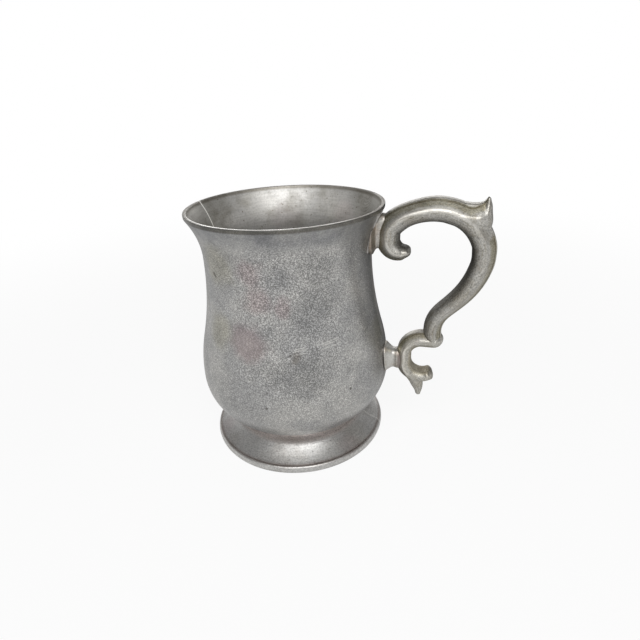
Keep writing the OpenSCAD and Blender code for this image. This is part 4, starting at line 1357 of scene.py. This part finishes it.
def waisted_strut(name, start, face, end, low, high, width, flare, scroll_flare):
    """A rounded bar from the bowl into a scroll, spread where it meets the bowl and the scroll's face."""
    steps = 16
    sides = 40
    root = 3 * MM
    flared = 0.5
    turns = np.linspace(0, math.tau, sides, endpoint=False)
    outline = [(rounded(math.cos(turn)), rounded(math.sin(turn))) for turn in turns]
    stations = [(start - root, high - low + 2 * flare, width + 2 * flare)]
    for step in range(steps + 1):
        part = step / steps
        at_bowl = flare * (1 - math.sin(QUARTER_TURN * part))
        at_scroll = scroll_flare * (1 - math.sin(QUARTER_TURN * min(1, (1 - part) / flared)))
        spread = 2 * (at_bowl + at_scroll)
        stations.append((start + (face - start) * part, high - low + spread, width + spread))
    stations.append((end, stations[-1][1], stations[-1][2]))
    piece = bar(name, outline, stations, 1)
    piece.rotation_euler = (QUARTER_TURN, 0, 0)
    piece.location = (0, 0, (low + high) / 2)
    bpy.ops.object.transform_apply(location=True, rotation=True, scale=False)
    return piece


def rounded(part):
    """A part of a circle's radius pushed out towards a square with round corners."""
    return math.copysign(abs(part) ** SQUARENESS, part)


class BuildStruts(bpy.types.Operator):
    """Makes the two waisted struts, cut to the bowl and the scrolls."""
    bl_idname = "tankard.build_struts"
    bl_label = "Struts"

    def execute(self, context):
        sizes = context.scene.tankard_struts
        finish = context.scene.tankard_finish
        curves = HandleCurves()
        metal = soldered_strut(finish)
        low = curves.hook[1] - sizes.upper_drop
        high = curves.bowl.sizes.height - sizes.upper_clear
        upper = waisted_strut(
            "upper_waisted_strut", curves.bowl.radius((low + high) / 2),
            curves.hook[0] - curves.scroll.hook_radius - curves.scroll.hook_depth / 2,
            curves.hook[0] - curves.scroll.hook_radius, low, high, sizes.upper_width, sizes.upper_flare, 0)
        cut(upper, bowl_tool("bowl_tool", sizes.solder))
        cut(upper, main_scroll("hook_tool"))
        cast(upper, STRUT_SKIN, STRUT_SOFTEN)
        settle(upper, ["upper_strut"], [metal])
        middle = curves.lower.height - sizes.lower_drop
        low = middle - sizes.lower_height / 2
        high = middle + sizes.lower_height / 2
        lower = waisted_strut(
            "lower_waisted_strut", curves.bowl.radius(middle), curves.back - curves.lower.depth / 2,
            curves.back, low, high, sizes.lower_width, sizes.lower_flare, sizes.scroll_flare)
        cut(lower, bowl_tool("bowl_tool", sizes.solder))
        cut(lower, lower_c_scroll("back_tool"))
        cast(lower, STRUT_SKIN, STRUT_SOFTEN)
        settle(lower, ["lower_strut"], [metal])
        return {"FINISHED"}


class FinishJoints(bpy.types.Operator):
    """Gives the floor disc and the solder joints their finishes."""
    bl_idname = "tankard.finish_joints"
    bl_label = "Floor disc and solder"

    def execute(self, context):
        finish = context.scene.tankard_finish
        soft = soft_solder("soft_solder", finish.solder, finish)
        floor = soft_solder("floor_pewter", finish.inside, finish)
        dressed = {
            "floor_disc": floor, "floor_solder": soft, "foot_solder": soft, "upper_strut_solder": soft,
            "lower_strut_solder": soft, "scroll_solder": soft}
        for node, material in dressed.items():
            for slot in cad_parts[node].material_slots:
                slot.material = material
        return {"FINISHED"}


# Studio

def toward(across, along, side):
    """How squarely a level direction points to one side, from -1 to 1."""
    return (across * side[0] + along * side[1]) / (across * across + along * along) ** 0.5


def shaded(finish, across, along):
    """How far a level direction lies in the darker part of the room, behind the tankard and to its right."""
    right = finish.ease(toward(across, along, SHADE_SIDE), 0.68, 0.97)
    behind = finish.ease(toward(across, along, BEHIND), 0.6, 0.93)
    return 1 - (1 - right) * (1 - behind * 0.95)


def add_camera(sizes):
    """The camera with its lens."""
    bpy.ops.object.camera_add(location=sizes.camera_place, rotation=sizes.camera_turn)
    camera = bpy.context.object
    camera.data.sensor_width = SENSOR_WIDTH
    camera.data.lens = sizes.lens
    camera.data.shift_x = sizes.shift_x
    camera.data.shift_y = sizes.shift_y
    camera.data.clip_start = 1 * MM
    bpy.context.scene.camera = camera


def add_key(sizes):
    """The large soft light, turned to the tankard's middle."""
    place = Vector(sizes.key_place)
    aim = Vector((0, 0, CAD_BOX[1].z / 2)) - place
    heading = aim.to_track_quat("-Z", "Y").to_euler()
    bpy.ops.object.light_add(type="AREA", location=place, rotation=heading)
    key = bpy.context.object
    key.data.shape = "RECTANGLE"
    key.data.energy = sizes.key_power
    key.data.size = sizes.key_width
    key.data.size_y = sizes.key_height


def add_floor(sizes):
    """A pale floor that takes a soft shadow and turns white away from the tankard."""
    bpy.ops.mesh.primitive_plane_add(size=sizes.floor_size)
    floor = bpy.context.object
    floor.name = "floor"
    pale = Finish("pale_floor")
    seen = pale.node("ShaderNodeLightPath", output="Is Camera Ray")
    mirrored = pale.node("ShaderNodeLightPath", output="Is Glossy Ray")
    through = pale.node("ShaderNodeLightPath", output="Is Transmission Ray")
    across, along, _ = pale.axes(pale.place())
    far = pale.ease((across * across + along * along) ** 0.5, 0.12, 0.6)
    dim = sizes.shade * shaded(pale, across, along) * (1 - seen)
    cover = seen * (0.9 + 0.1 * far) + (mirrored + through) * (0.3 + 0.7 * far)
    grey = pale.blend(dim, (0.86, 0.86, 0.86), (0, 0, 0))
    lit = pale.node("ShaderNodeBsdfDiffuse", sockets={"Color": grey})
    white = pale.node("ShaderNodeEmission", sockets={"Color": (1, 1, 1), "Strength": 1 - dim})
    surface = pale.node("ShaderNodeMixShader", sockets={0: cover, 1: lit, 2: white})
    pale.node("ShaderNodeOutputMaterial", sockets={"Surface": surface})
    floor.data.materials.append(pale.material)


def add_room(sizes):
    """Pale light from all round, dimmer above and in front, with a low glow behind the tankard."""
    world = bpy.data.worlds.new("studio")
    world.use_nodes = True
    bpy.context.scene.world = world
    room = Finish("studio", world.node_tree)
    side, back, up = room.axes(room.node("ShaderNodeTexCoord", output="Generated"))
    seen = room.node("ShaderNodeLightPath", output="Is Camera Ray")
    heading = sizes.camera_turn[2]
    ahead = back * math.cos(heading) - side * math.sin(heading)
    wall = room.ease(ahead, -0.3, 0.8, sizes.front, 1) - sizes.ceiling
    soft = sizes.ceiling + wall * room.ease(up, 0.08, 0.6, 1, 0)
    soft = soft * (1 - sizes.shade * shaded(room, side, back) * room.ease(up, 0.35, 0.1))
    glow = room.ease(toward(side, back, BEHIND), 0.82, 0.93, 0, sizes.glow)
    glow = glow * room.near(up, 0.25, 0.07, 0.13)
    strength = seen + (1 - seen) * (soft + glow)
    light = room.node("ShaderNodeBackground", sockets={"Color": (1, 1, 1), "Strength": strength})
    room.node("ShaderNodeOutputWorld", sockets={"Surface": light})


class BuildStage(bpy.types.Operator):
    """Sets up the camera, the soft light, the pale surroundings and the floor."""
    bl_idname = "tankard.build_stage"
    bl_label = "Studio"

    def execute(self, context):
        sizes = context.scene.tankard_stage
        deselect()
        add_camera(sizes)
        add_key(sizes)
        add_floor(sizes)
        add_room(sizes)
        context.scene.view_settings.view_transform = "Standard"
        return {"FINISHED"}


# Panel and start

class TankardPanel(bpy.types.Panel):
    """Buttons for the tankard's pieces."""
    bl_idname = "VIEW3D_PT_tankard"
    bl_label = "Tankard"
    bl_space_type = "VIEW_3D"
    bl_region_type = "UI"
    bl_category = "Tankard"

    def draw(self, context):
        for maker in MAKERS:
            self.layout.operator(maker.bl_idname)


GROUPS = {
    "tankard_bowl": TankardBowl,
    "tankard_foot": TankardFoot,
    "tankard_scroll": TankardScroll,
    "tankard_lower": TankardLowerScroll,
    "tankard_struts": TankardStruts,
    "tankard_finish": TankardFinish,
    "tankard_stage": TankardStage,
}
MAKERS = [BuildStage, BuildBowl, BuildFoot, BuildScrolls, BuildStruts, FinishJoints]


def register():
    """Adds the sizes, the buttons and the panel."""
    for name, group in GROUPS.items():
        bpy.utils.register_class(group)
        setattr(bpy.types.Scene, name, bpy.props.PointerProperty(type=group))
    for maker in MAKERS:
        bpy.utils.register_class(maker)
    bpy.utils.register_class(TankardPanel)


def unregister():
    """Takes them out again."""
    bpy.utils.unregister_class(TankardPanel)
    for maker in reversed(MAKERS):
        bpy.utils.unregister_class(maker)
    for name, group in GROUPS.items():
        delattr(bpy.types.Scene, name)
        bpy.utils.unregister_class(group)


def main():
    """Builds every piece in order."""
    register()
    bpy.ops.tankard.build_stage()
    bpy.ops.tankard.build_bowl()
    bpy.ops.tankard.build_foot()
    bpy.ops.tankard.build_scrolls()
    bpy.ops.tankard.build_struts()
    bpy.ops.tankard.finish_joints()
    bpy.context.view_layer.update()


if __name__ == "__main__":
    main()
